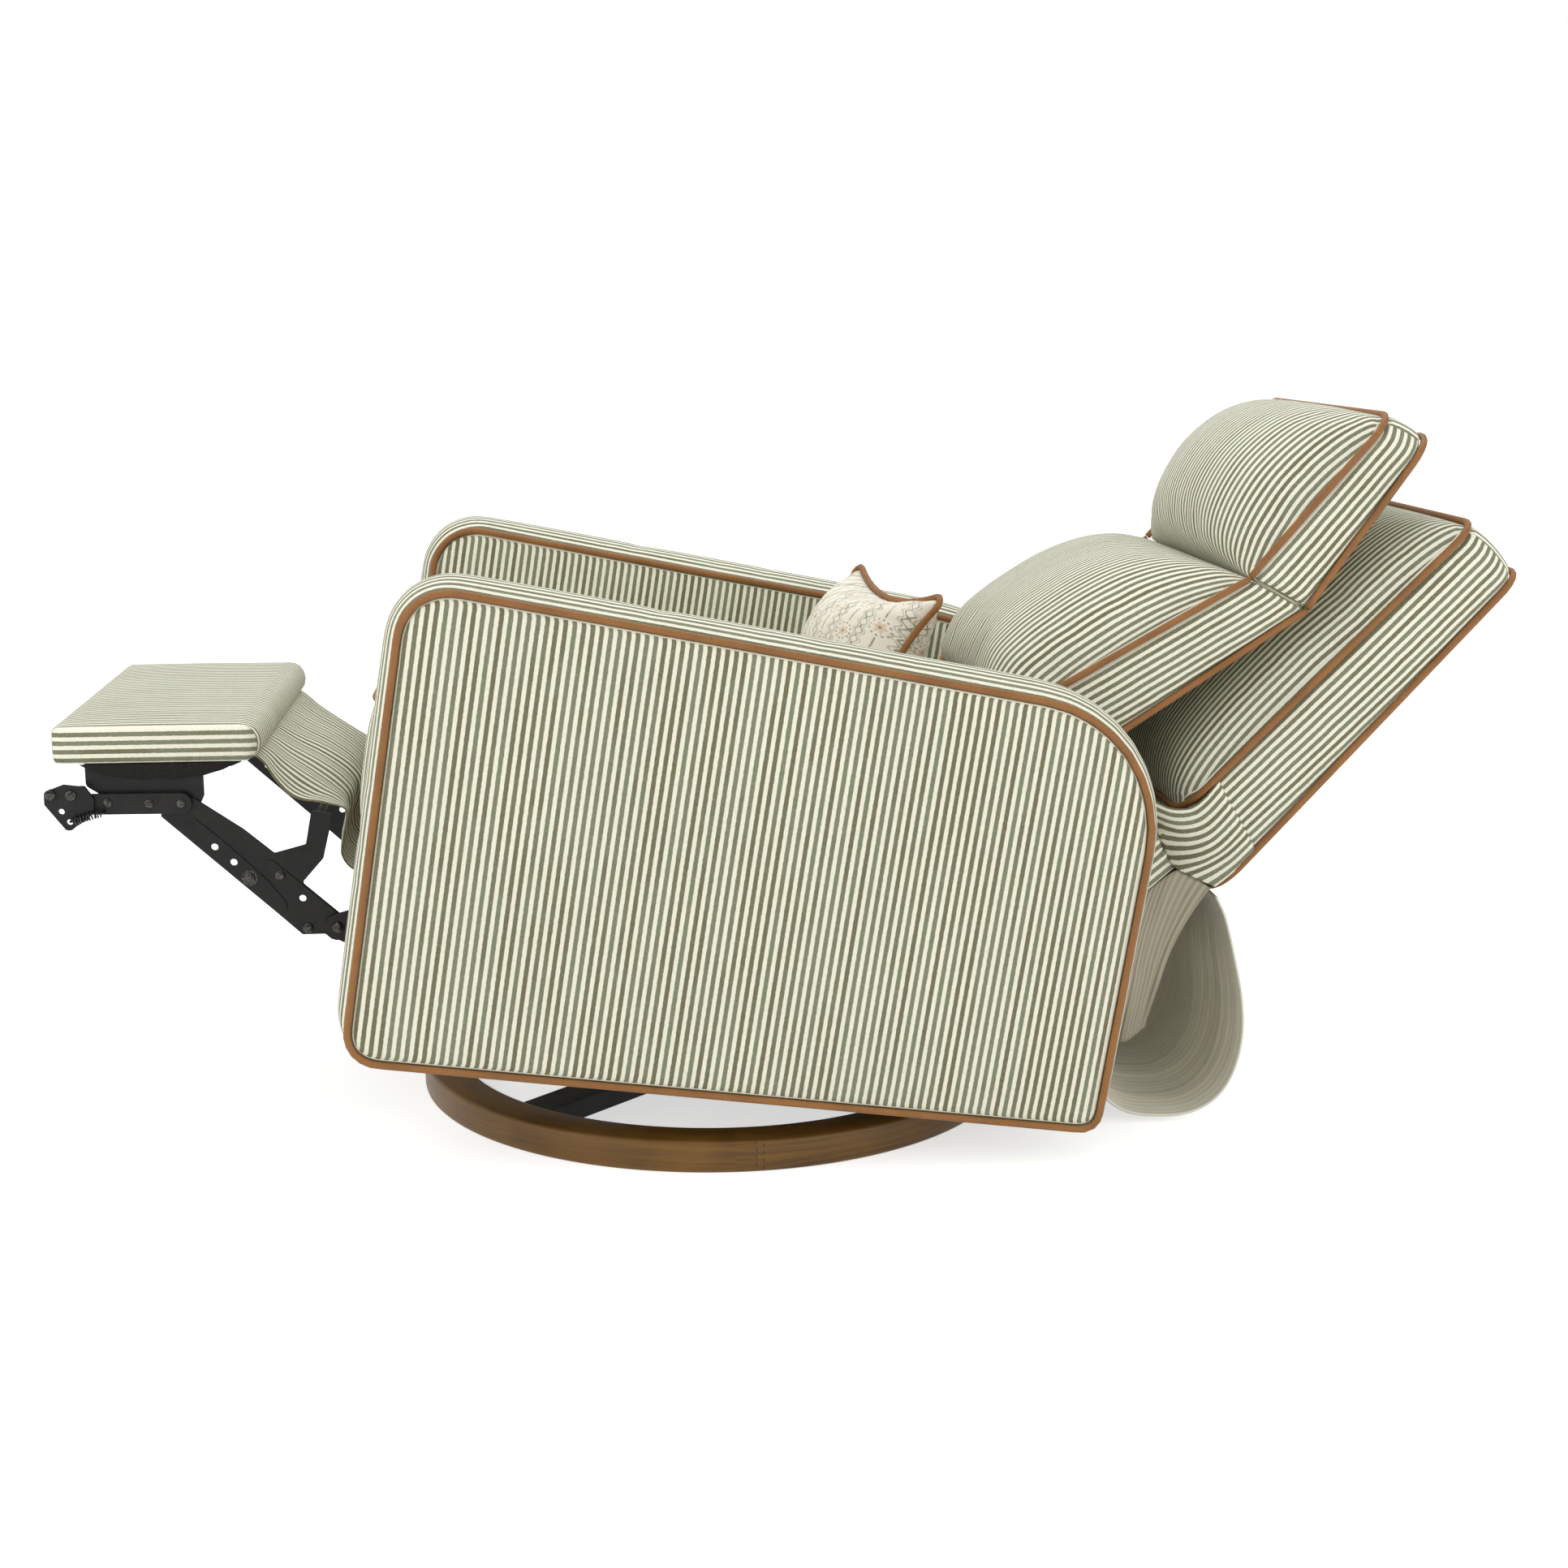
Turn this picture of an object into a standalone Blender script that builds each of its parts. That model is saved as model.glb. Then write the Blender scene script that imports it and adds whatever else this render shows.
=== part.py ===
"""Swivel glider recliner with a lazy-tong footrest, modelled in its fully reclined pose.

Metres, +Z up. The front faces -Y, +X is the sitter's left. The origin lies on the floor under the middle
of the open chair. Everything above the glide is tilted back with the seat, so it hangs from seat_frame and
is written in that level frame: y runs from front to rear from the swivel axis, z up from the floor.
"""
import bpy
import bmesh
from math import acos, atan2, ceil, cos, pi, radians, sin, sqrt, tan
from mathutils import Vector

# Frames and joint axes
SWIVEL_Y = -0.080
SEAT_TILT = radians(9.0)
BACK_LEAN = radians(36.0)
RECLINE_Y = 0.430
RECLINE_Z = 0.300
HEAD_Y = -0.130
HEAD_Z = 0.400

# Gaps between pieces
GAP = 0.0003
SOFT_GAP = 0.0005
OVERRUN = 0.010
PIN_PLAY = 0.0005
WELD = 0.00002

# Base ring, its cross and the swivel bearing
RING_RADIUS = 0.362
RING_WIDTH = 0.048
RING_HEIGHT = 0.037
RING_EASE = 0.004
CROSS_WIDTH = 0.048
CROSS_HEIGHT = 0.022
CROSS_TOP = 0.034
SWIVEL_PLATE = 0.003
RACE_RADIUS = 0.110
RACE_WIDTH = 0.022
RACE_HEIGHT = 0.009
SWIVEL_BORE = 0.015

# Glide frame and its four links
GLIDE_SPAN = 0.300
GLIDE_REAR_Y = 0.180
GLIDE_PIVOT_Z = 0.225
GLIDE_LINK_LENGTH = 0.100
GLIDE_FRAME_X = 0.190
GLIDE_PLATE = 0.005
GLIDE_LINK_HALF = 0.016
GLIDE_PIN_RADIUS = 0.005
GLIDE_OPEN_PLAY = 0.0045
GLIDE_FOOT_HALF = 0.110
WINDOW_SHARE = 0.7
PAN_HALF_LENGTH = 0.100
PAN_HEIGHT = 0.030
PAN_WALL = 0.004

# Upholstered arms
ARM_INNER_X = 0.290
ARM_OUTER_X = 0.385
ARM_FRONT = -0.441
ARM_REAR = 0.388
ARM_BOTTOM = 0.082
ARM_BOTTOM_RISE = 0.024
ARM_TOP = 0.601
ARM_TOP_DROP = 0.032
ARM_CROWN = 0.015
ARM_FRONT_BOTTOM_RADIUS = 0.034
ARM_FRONT_TOP_RADIUS = 0.055
ARM_REAR_TOP_RADIUS = 0.150
ARM_REAR_BOTTOM_RADIUS = 0.020
PIPING_RADIUS = 0.004
SEAM_INSET = 0.0065
SLANT_INSET = 0.0085

# Seat box, springs and seat cushion
RAIL_BOTTOM = 0.195
RAIL_TOP = 0.305
RAIL_FRONT = -0.400
RAIL_REAR = 0.375
CROSS_RAIL_SIDE = 0.040
RAIL_EASE = 0.003
SPRING_WIRE = 0.0017
SPRING_SPACING = 0.150
SPRING_PITCH = 0.147
SPRING_AMPLITUDE = 0.026
SPRING_TIE_RADIUS = 0.0025
SPRING_SIDES = 6
SEAT_HALF_WIDTH = 0.281
SEAT_FRONT = -0.463
SEAT_REAR = 0.125
SEAT_TOP = 0.455
SEAT_CROWN = 0.022
SEAT_CORNER = 0.040

# Steel mechanism: plate planes counted inward from the side plate
SIDE_PLATE_X = 0.242
STEEL = 0.004
PLATE_EDGE = 0.020
PLATE_CORNER = 0.010
BAR_ROUND_SHARE = 0.98
RIVET_RADIUS = 0.004
RIVET_HEAD_RADIUS = 0.0065
RIVET_HEAD = 0.0015
SWING_PIVOT_Y = -0.292
SWING_PIVOT_Z = 0.269
LONG_LINK_LENGTH = 0.220
LONG_LINK_RISE = radians(32.4)
LINK_HALF = 0.015
LINK_HOLE_RADIUS = 0.0045
BOSS_RADIUS = 0.008
TORQUE_TUBE_RADIUS = 0.0125
CROSS_BAR_RADIUS = 0.005
MOTOR_HALF_WIDTH = 0.045
MOTOR_HALF_HEIGHT = 0.022
MOTOR_BARREL_RADIUS = 0.019
MOTOR_BARREL_LENGTH = 0.105
MOTOR_EASE = 0.005

# Footrest, in a frame on its pivot that lies level with the board
FOOT_REAR_Y = -0.515
FOOT_UNDER_Z = 0.450
FOOT_LENGTH = 0.226
FOOT_HALF_WIDTH = 0.236
FOOT_THICK = 0.040
FOOT_CROWN = 0.004
FOOT_CORNER = 0.010
FOOT_EDGE = 0.008
FOOT_PIVOT_BACK = 0.088
FOOT_PIVOT_DROP = 0.045
BOARD_THICK = 0.012
BOARD_INSET = 0.020
DUST_DEPTH = 0.014
DUST_FRONT = 0.030
DUST_HALF_WIDTH = 0.190
BRACKET_FLANGE = 0.024
SIDE_BAR_HALF = 0.0115
COIL_RADIUS = 0.004
COIL_WIRE = 0.0008
COIL_TURNS = 5
COIL_STEPS = 8
COIL_END_SHARE = 0.2
SMALL_HOLE_RADIUS = 0.0036
FLAP_HALF_WIDTH = 0.215
FLAP_THICK = 0.004
FLAP_LENGTH = 0.100

# Upholstered back, in a frame on the recline axis: z runs up the back
BACK_HALF_WIDTH = 0.248
BACK_TOP = 0.600
BACK_BOTTOM = 0.100
BACK_FRONT_RISE = 0.037
BACK_REAR_TOP_Y = 0.013
BACK_REAR_BOTTOM_Y = 0.031
BACK_FRONT_Y = -0.067
BACK_CORNER = 0.030
BACK_CROWN = 0.008
BACK_BULGE = 0.004
BACK_FILL = 0.0012
BACK_RAIL_SIDE = 0.040
LUG_HALF = 0.017

# Cushions of the back, in the same frame
CUSHION_HALF_WIDTH = 0.233
CUSHION_BOTTOM = 0.070
CUSHION_THICK_TOP = 0.074
CUSHION_THICK_BOTTOM = 0.091
CUSHION_REAR_SLOPE = 0.210
CUSHION_CROWN = 0.082
CUSHION_CORNER = 0.030
CREASE_SLOPE = 0.300
HEAD_HEIGHT = 0.226
HEAD_THICK_TOP = 0.050
HEAD_SLOPE = 0.170
HEAD_INSET = 0.0012
HEAD_CROWN = 0.107
HEAD_CORNER = 0.035

# Hanging cloth and pillow
CLOTH_THICK = 0.002
CLOTH_COLUMNS = 8
DRAPE_HALF_WIDTH = 0.247
DRAPE_TOP_Y = 0.516
DRAPE_TOP_Z = 0.3589
DRAPE_HEIGHT = 0.275
DRAPE_WAVE = 0.008
DRAPE_FOLDS = 3
PILLOW_HALF_WIDTH = 0.132
PILLOW_HALF_HEIGHT = 0.088
PILLOW_HALF_THICK = 0.068
PILLOW_DRAW = 0.024
PILLOW_EAR = 0.012
PILLOW_Y = 0.098
PILLOW_Z = 0.5594
PILLOW_TURN = radians(15.0)
PILLOW_LEAN = radians(22.0)

# Controls and power inlet
PAD_LENGTH = 0.100
PAD_HEIGHT = 0.030
PAD_THICK = 0.007
PAD_FRONT = -0.300
PAD_DROP = 0.076
BUTTON_COUNT = 4
BUTTON_RADIUS = 0.007
BUTTON_LENGTH = 0.0065
BUTTON_TRAVEL = 0.002
INLET_SIDE = 0.030
INLET_WALL = 0.005

# Facets round the ring and the swivel plates, and the two sides
RING_STEPS = 48
PLATE_STEPS = 24
LEFT = 1
RIGHT = -1
HANDS = ((LEFT, "left"), (RIGHT, "right"))


def collection(name):
    made = bpy.data.collections.new(name)
    bpy.context.scene.collection.children.link(made)
    return made


def material(name, colour, roughness, metallic=0.0):
    made = bpy.data.materials.new(name)
    made.use_nodes = True
    shader = made.node_tree.nodes["Principled BSDF"]
    shader.inputs["Base Color"].default_value = (*colour, 1.0)
    shader.inputs["Roughness"].default_value = roughness
    shader.inputs["Metallic"].default_value = metallic
    made.diffuse_color = (*colour, 1.0)
    return made


def frame_empty(name, parent, y, z, turn_x=0.0, turn_z=0.0):
    """An empty on a joint's axis, which its pieces are parented to."""
    made = bpy.data.objects.new(name, None)
    PARTS.objects.link(made)
    made.parent = parent
    made.location = (0.0, y, z)
    made.rotation_euler = (turn_x, 0.0, turn_z)
    return made


def add(obj, parent, mat, helper=False):
    """Put an object in its collection under a parent frame."""
    for owner in list(obj.users_collection):
        owner.objects.unlink(obj)
    (CUTTERS if helper else PARTS).objects.link(obj)
    obj.parent = parent
    if mat is not None:
        obj.data.materials.clear()
        obj.data.materials.append(mat)
    if helper:
        obj.hide_render = True
        obj.display_type = "WIRE"
    return obj


def mesh_object(name, mesh_edit):
    data = bpy.data.meshes.new(name)
    mesh_edit.to_mesh(data)
    mesh_edit.free()
    return bpy.data.objects.new(name, data)


def smooth(obj, angle):
    obj.data.shade_smooth()
    obj.data.set_sharp_from_angle(angle=radians(angle))
    return obj


def as_mesh(curve_object):
    """Swap a curve object for a mesh whose caps are welded on."""
    name = curve_object.name
    bpy.context.scene.collection.objects.link(curve_object)
    bpy.context.view_layer.update()
    seen = curve_object.evaluated_get(bpy.context.evaluated_depsgraph_get())
    data = bpy.data.meshes.new_from_object(seen)
    bpy.data.objects.remove(curve_object, do_unlink=True)
    made = bmesh.new()
    made.from_mesh(data)
    bmesh.ops.remove_doubles(made, verts=made.verts, dist=WELD)
    bmesh.ops.recalc_face_normals(made, faces=made.faces)
    made.to_mesh(data)
    made.free()
    return bpy.data.objects.new(name, data)


def block(name, low, high, parent, mat, ease=0.0, helper=False):
    """A box from its low to its high corner, with eased edges."""
    made = bmesh.new()
    bmesh.ops.create_cube(made, size=1.0)
    size = Vector(high) - Vector(low)
    middle = (Vector(high) + Vector(low)) / 2
    for vert in made.verts:
        vert.co = vert.co * size + middle
    obj = add(mesh_object(name, made), parent, mat, helper)
    if ease:
        bevel = obj.modifiers.new("ease", "BEVEL")
        bevel.width = ease
        bevel.segments = 1
    return obj


def rod(name, radius, start, end, parent, mat, sides=12, helper=False):
    """A round bar from one point to another."""
    axis = Vector(end) - Vector(start)
    made = bmesh.new()
    bmesh.ops.create_cone(made, cap_ends=True, segments=sides, radius1=radius, radius2=radius,
                          depth=axis.length)
    turn = axis.to_track_quat("Z", "Y")
    for vert in made.verts:
        vert.co = turn @ vert.co + (Vector(start) + Vector(end)) / 2
    return add(smooth(mesh_object(name, made), 35.0), parent, mat, helper)


def boolean(obj, tool, operation):
    made = obj.modifiers.new(operation.lower(), "BOOLEAN")
    made.operation = operation
    made.object = tool


def corner_arc(before, here, after, radius, steps):
    """The arc that rounds one corner of an outline."""
    back = (before - here).normalized()
    ahead = (after - here).normalized()
    half = back.angle(ahead) / 2
    centre = here + (back + ahead).normalized() * (radius / sin(half))
    start = here + back * (radius / tan(half)) - centre
    end = here + ahead * (radius / tan(half)) - centre
    turn = atan2(start.x * end.y - start.y * end.x, start.dot(end))
    points = []
    for step in range(steps + 1):
        angle = turn * step / steps
        points.append(centre + Vector((start.x * cos(angle) - start.y * sin(angle),
                                       start.x * sin(angle) + start.y * cos(angle))))
    return points


def outline(corners, radii, arc=3, run=0, draw=0.0):
    """A counter-clockwise outline with rounded corners and sides that are drawn in between them."""
    spots = [Vector(corner) for corner in corners]
    count = len(spots)
    arcs = [corner_arc(spots[k - 1], spots[k], spots[(k + 1) % count], radii[k], arc) for k in range(count)]
    points = []
    for k, here in enumerate(arcs):
        points += here
        start = here[-1]
        side = arcs[(k + 1) % count][0] - start
        inward = Vector((-side.y, side.x)).normalized()
        for step in range(1, run + 1):
            share = step / (run + 1)
            points.append(start + side * share + inward * draw * 4 * share * (1 - share))
    return [(point.x, point.y) for point in points]


def circle(y, z, radius, sides=12):
    return [(y + radius * cos(2 * pi * k / sides), z + radius * sin(2 * pi * k / sides)) for k in range(sides)]


def plate(name, loops, span, parent, mat, helper=False):
    """A flat plate across X over a span: the first loop is its outline in (y, z), the others are holes."""
    data = bpy.data.curves.new(name, "CURVE")
    data.dimensions = "2D"
    data.fill_mode = "BOTH"
    data.extrude = (span[1] - span[0]) / 2
    for loop in loops:
        spline = data.splines.new("POLY")
        spline.points.add(len(loop) - 1)
        for point, (y, z) in zip(spline.points, loop):
            point.co = (y, z, 0.0, 1.0)
        spline.use_cyclic_u = True
    solid = as_mesh(bpy.data.objects.new(name, data))
    for vert in solid.data.vertices:
        along, up, across = vert.co
        vert.co = (across + (span[0] + span[1]) / 2, along, up)
    return add(smooth(solid, 35.0), parent, mat, helper)


def tube(name, points, radius, parent, mat, closed=False, resolution=1, helper=False):
    """A wire, cord or bar of round section along points."""
    data = bpy.data.curves.new(name, "CURVE")
    data.dimensions = "3D"
    data.bevel_depth = radius
    data.bevel_resolution = resolution
    data.use_fill_caps = not closed
    spline = data.splines.new("POLY")
    spline.points.add(len(points) - 1)
    for point, place in zip(spline.points, points):
        point.co = (*place, 1.0)
    spline.use_cyclic_u = closed
    return add(smooth(as_mesh(bpy.data.objects.new(name, data)), 70.0), parent, mat, helper)


def turned(name, profile, parent, mat, steps):
    """A ring turned about Z from a closed profile in (radius, z) that runs down its outer side."""
    made = bmesh.new()
    verts = [made.verts.new((radius, 0.0, z)) for radius, z in profile]
    for k, vert in enumerate(verts):
        made.edges.new((vert, verts[(k + 1) % len(verts)]))
    obj = add(mesh_object(name, made), parent, mat)
    screw = obj.modifiers.new("turn", "SCREW")
    screw.steps = steps
    screw.render_steps = steps
    screw.use_merge_vertices = True
    screw.merge_threshold = WELD
    screw.use_smooth_shade = False
    return obj


def loft(name, rings, parent, mat, angle=50.0):
    """A closed body through rings of as many points each, capped at both ends."""
    made = bmesh.new()
    rows = [[made.verts.new(place) for place in ring] for ring in rings]
    count = len(rings[0])
    for lower, upper in zip(rows, rows[1:]):
        for k in range(count):
            made.faces.new((lower[k], lower[(k + 1) % count], upper[(k + 1) % count], upper[k]))
    made.faces.new(rows[0])
    made.faces.new(list(reversed(rows[-1])))
    bmesh.ops.recalc_face_normals(made, faces=made.faces)
    return add(smooth(mesh_object(name, made), angle), parent, mat)


def sheet(name, rows, thick, parent, mat):
    """Cloth of even thickness over rows of points."""
    made = bmesh.new()
    grid = [[made.verts.new(place) for place in row] for row in rows]
    for lower, upper in zip(grid, grid[1:]):
        for k in range(len(lower) - 1):
            made.faces.new((lower[k], lower[k + 1], upper[k + 1], upper[k]))
    obj = add(smooth(mesh_object(name, made), 60.0), parent, mat)
    solid = obj.modifiers.new("cloth", "SOLIDIFY")
    solid.thickness = thick
    solid.offset = 0.0
    return obj


# Rings of a boxed body from rear to face: seam offset, size, share of the thickness, inset from the seam
REAR_SIZE_SHARES = (0.30, 0.80)
FACE_SIZE_SHARES = (0.93, 0.82, 0.64, 0.42, 0.20)


def boxed(name, rim, middle, half, place, thick, parent, mat, crown=0.0, rear_crown=0.0, bulge=0.0,
          powers=(4, 4), face_inset=SEAM_INSET):
    """A boxed cushion: rim gives the seam outline at an offset, place puts (u, v, forward) in space."""

    def swell(u, v):
        across = min(1.0, abs(u - middle[0]) / half[0])
        along = min(1.0, abs(v - middle[1]) / half[1])
        return sqrt((1 - across ** powers[0]) * (1 - along ** powers[1]))

    def ring(offset, size, share, shift, height):
        points = []
        for u, v in rim(offset):
            u = middle[0] + (u - middle[0]) * size
            v = middle[1] + (v - middle[1]) * size
            points.append(place(u, v, thick(v) * share + shift + height * swell(u, v)))
        return points

    inset = SEAM_INSET
    rings = [ring(-inset, size, 0, 0.0, -rear_crown) for size in REAR_SIZE_SHARES]
    rings.append(ring(-inset, 1, 0, 0.0, 0.0))
    rings.append(ring(0.0, 1, 0, inset, 0.0))
    rings.append(ring(bulge, 1, 1 / 2, 0.0, 0.0))
    inset = face_inset
    rings.append(ring(0.0, 1, 1, -inset, 0.0))
    rings.append(ring(-inset, 1, 1, 0.0, 0.0))
    rings += [ring(-inset, size, 1, 0.0, crown) for size in FACE_SIZE_SHARES]
    return loft(name, rings, parent, mat)


def seam(rim, place, thick, share):
    """The line of a boxed body's seam, for its piping."""
    return [place(u, v, thick(v) * share) for u, v in rim(0.0)]


def piping(name, points, parent):
    return tube(name, points, PIPING_RADIUS, parent, LEATHER, closed=True)


def to_seat(y, z):
    """A place given from the swivel axis, level with the floor, in the tilted seat frame."""
    return Vector((y * cos(SEAT_TILT) - z * sin(SEAT_TILT), y * sin(SEAT_TILT) + z * cos(SEAT_TILT)))


def plane(side, index, inward=0.0, outward=0.0):
    """The X span of one steel plate plane on one side, lengthened at either face."""
    outer = SIDE_PLATE_X - index * (STEEL + GAP) + outward
    inner = SIDE_PLATE_X - index * (STEEL + GAP) - STEEL - inward
    return (inner, outer) if side == LEFT else (-outer, -inner)


def pin(obj, side, carrier, last, y, z, parent, radius=RIVET_RADIUS, head=0.0):
    """Fuse a pin to a plate: from the middle of its plane to the far face of the last plane it passes."""
    outward = last <= carrier
    middle = SIDE_PLATE_X - carrier * (STEEL + GAP) - STEEL / 2
    end = SIDE_PLATE_X - last * (STEEL + GAP) - (0.0 if outward else STEEL)
    end += head if outward else -head
    bar = rod(obj.name + "_pin", radius, (side * middle, y, z), (side * end, y, z), parent, None, 12, True)
    boolean(obj, bar, "UNION")


def rivet(obj, side, index, y, z, parent, radius=RIVET_HEAD_RADIUS):
    """Fuse a rivet head to the outer face of a plate."""
    middle = SIDE_PLATE_X - index * (STEEL + GAP) - STEEL / 2
    end = SIDE_PLATE_X - index * (STEEL + GAP) + RIVET_HEAD
    head = rod(obj.name + "_rivet", radius, (side * middle, y, z), (side * end, y, z), parent, None, 8, True)
    boolean(obj, head, "UNION")


def bar_outline(start, end, half, arc=4):
    """A link's outline: a straight bar with round ends."""
    along = (Vector(end) - Vector(start)).normalized()
    across = Vector((-along.y, along.x)) * half
    near = Vector(start) - along * half
    far = Vector(end) + along * half
    return outline((near - across, far - across, far + across, near + across), (half * BAR_ROUND_SHARE,) * 4, arc)


def base():
    """A bent-wood ring on the floor with a steel cross let in, and the fixed plate of the swivel."""
    inner = RING_RADIUS - RING_WIDTH
    profile = [(inner + RING_EASE, RING_HEIGHT), (RING_RADIUS - RING_EASE, RING_HEIGHT),
               (RING_RADIUS, RING_HEIGHT - RING_EASE), (RING_RADIUS, RING_EASE), (RING_RADIUS - RING_EASE, 0.0),
               (inner + RING_EASE, 0.0), (inner, RING_EASE), (inner, RING_HEIGHT - RING_EASE)]
    turned("base_ring", profile, BASE, WALNUT, RING_STEPS)
    flat = inner * cos(pi / RING_STEPS) - GAP
    reach = sqrt(flat ** 2 - (CROSS_WIDTH / 2) ** 2)
    arms = []
    for name, helper in (("base_cross", False), ("cross_arm", True)):
        low = (-reach, -CROSS_WIDTH / 2, CROSS_TOP - CROSS_HEIGHT)
        arms.append(block(name, low, (reach, CROSS_WIDTH / 2, CROSS_TOP), BASE, STEEL_BLACK, helper=helper))
    arms[0].rotation_euler.z = pi / 4
    arms[1].rotation_euler.z = -pi / 4
    boolean(arms[0], arms[1], "UNION")
    bottom = CROSS_TOP + GAP
    race = bottom + RACE_HEIGHT
    outer = RACE_RADIUS + RACE_WIDTH / 2
    turned("swivel_lower_plate", [(RACE_RADIUS - RACE_WIDTH / 2, race), (outer, race), (outer, bottom),
                                  (SWIVEL_BORE, bottom), (SWIVEL_BORE, bottom + SWIVEL_PLATE),
                                  (RACE_RADIUS - RACE_WIDTH / 2, bottom + SWIVEL_PLATE)], BASE, STEEL_BLACK, PLATE_STEPS)
    top = race + GAP
    turned("swivel_upper_plate", [(SWIVEL_BORE, top + SWIVEL_PLATE), (outer, top + SWIVEL_PLATE), (outer, top),
                                  (SWIVEL_BORE, top)], TURNTABLE, STEEL_BLACK, PLATE_STEPS)
    return top + SWIVEL_PLATE + GAP


def glide(floor):
    """The pan and side frames on the swivel, and the four links that the seat hangs from."""
    front_y = GLIDE_REAR_Y - GLIDE_SPAN
    across = GLIDE_FRAME_X - GAP
    pan = block("glide_pan", (-across, -PAN_HALF_LENGTH, floor), (across, PAN_HALF_LENGTH, floor + PAN_HEIGHT),
                TURNTABLE, STEEL_BLACK)
    hollow = block("pan_hollow", (-across - OVERRUN, PAN_WALL - PAN_HALF_LENGTH, floor + PAN_WALL),
                   (across + OVERRUN, PAN_HALF_LENGTH - PAN_WALL, floor + PAN_HEIGHT + OVERRUN), TURNTABLE, None,
                   helper=True)
    boolean(pan, hollow, "DIFFERENCE")
    low = GLIDE_PIVOT_Z - PLATE_EDGE
    high = GLIDE_PIVOT_Z + PLATE_EDGE
    corners = ((-GLIDE_FOOT_HALF, floor), (GLIDE_FOOT_HALF, floor), (GLIDE_REAR_Y + PLATE_EDGE, low),
               (GLIDE_REAR_Y + PLATE_EDGE, high), (front_y - PLATE_EDGE, high), (front_y - PLATE_EDGE, low))
    side_outline = outline(corners, (PLATE_CORNER,) * len(corners))
    half = GLIDE_FOOT_HALF * WINDOW_SHARE
    window = outline(((-half, floor + PLATE_EDGE), (half, floor + PLATE_EDGE), (half, low), (-half, low)),
                     (PLATE_CORNER,) * 4)
    bore = GLIDE_PIN_RADIUS + PIN_PLAY
    outer = GLIDE_FRAME_X + GLIDE_PLATE
    link_in = outer + GAP
    link_out = link_in + GLIDE_PLATE
    for side, hand in HANDS:
        span = (GLIDE_FRAME_X, outer) if side == LEFT else (-outer, -GLIDE_FRAME_X)
        holes = [circle(y, GLIDE_PIVOT_Z, bore) for y in (front_y, GLIDE_REAR_Y)]
        plate("glide_frame_" + hand, [side_outline, window] + holes, span, TURNTABLE, STEEL_BLACK)
        for frame, row, play in ((GLIDE_REAR, "rear", 0.0), (GLIDE_FRONT, "front", GLIDE_OPEN_PLAY)):
            span = (link_in, link_out) if side == LEFT else (-link_out, -link_in)
            link = plate("glide_link_" + row + "_" + hand,
                         [bar_outline((0.0, 0.0), (0.0, -GLIDE_LINK_LENGTH), GLIDE_LINK_HALF),
                          circle(0.0, -GLIDE_LINK_LENGTH, bore + play)], span, frame, STEEL_BLACK)
            stud = rod(link.name + "_stud", GLIDE_PIN_RADIUS, (side * (link_in + link_out) / 2, 0.0, 0.0),
                       (side * (GLIDE_FRAME_X - RIVET_HEAD), 0.0, 0.0), frame, None, helper=True)
            boolean(link, stud, "UNION")


def arm_outline(offset):
    """The side outline of an arm: growth swells it all round but at the flat bottom."""
    under = min(offset, 0.0)
    corners = ((ARM_FRONT - offset, ARM_BOTTOM - under), (ARM_REAR + offset, ARM_BOTTOM + ARM_BOTTOM_RISE - under),
               (ARM_REAR + offset, ARM_TOP - ARM_TOP_DROP + offset), (ARM_FRONT - offset, ARM_TOP + offset))
    radii = (ARM_FRONT_BOTTOM_RADIUS, ARM_REAR_BOTTOM_RADIUS, ARM_REAR_TOP_RADIUS, ARM_FRONT_TOP_RADIUS)
    return outline(corners, [radius + offset for radius in radii], 6, 1)


# Rings across an arm: share of the width and share of the crown
ARM_CROWN_SHARES = ((0.25, 0.75), (0.50, 1.00), (0.75, 0.75))


def arms():
    """Two box arms with a crowned band between piped side panels."""
    width = ARM_OUTER_X - ARM_INNER_X
    for side, hand in HANDS:

        def ring(offset, x):
            return [(side * x, y, z) for y, z in arm_outline(offset)]

        rings = [ring(-SEAM_INSET, ARM_INNER_X), ring(0.0, ARM_INNER_X + SEAM_INSET)]
        rings += [ring(ARM_CROWN * height, ARM_INNER_X + width * share) for share, height in ARM_CROWN_SHARES]
        rings += [ring(0.0, ARM_OUTER_X - SEAM_INSET), ring(-SEAM_INSET, ARM_OUTER_X)]
        loft("arm_" + hand, rings, SEAT, FABRIC)
        piping("arm_piping_inner_" + hand, ring(0.0, ARM_INNER_X), SEAT)
        piping("arm_piping_outer_" + hand, ring(0.0, ARM_OUTER_X), SEAT)


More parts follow.
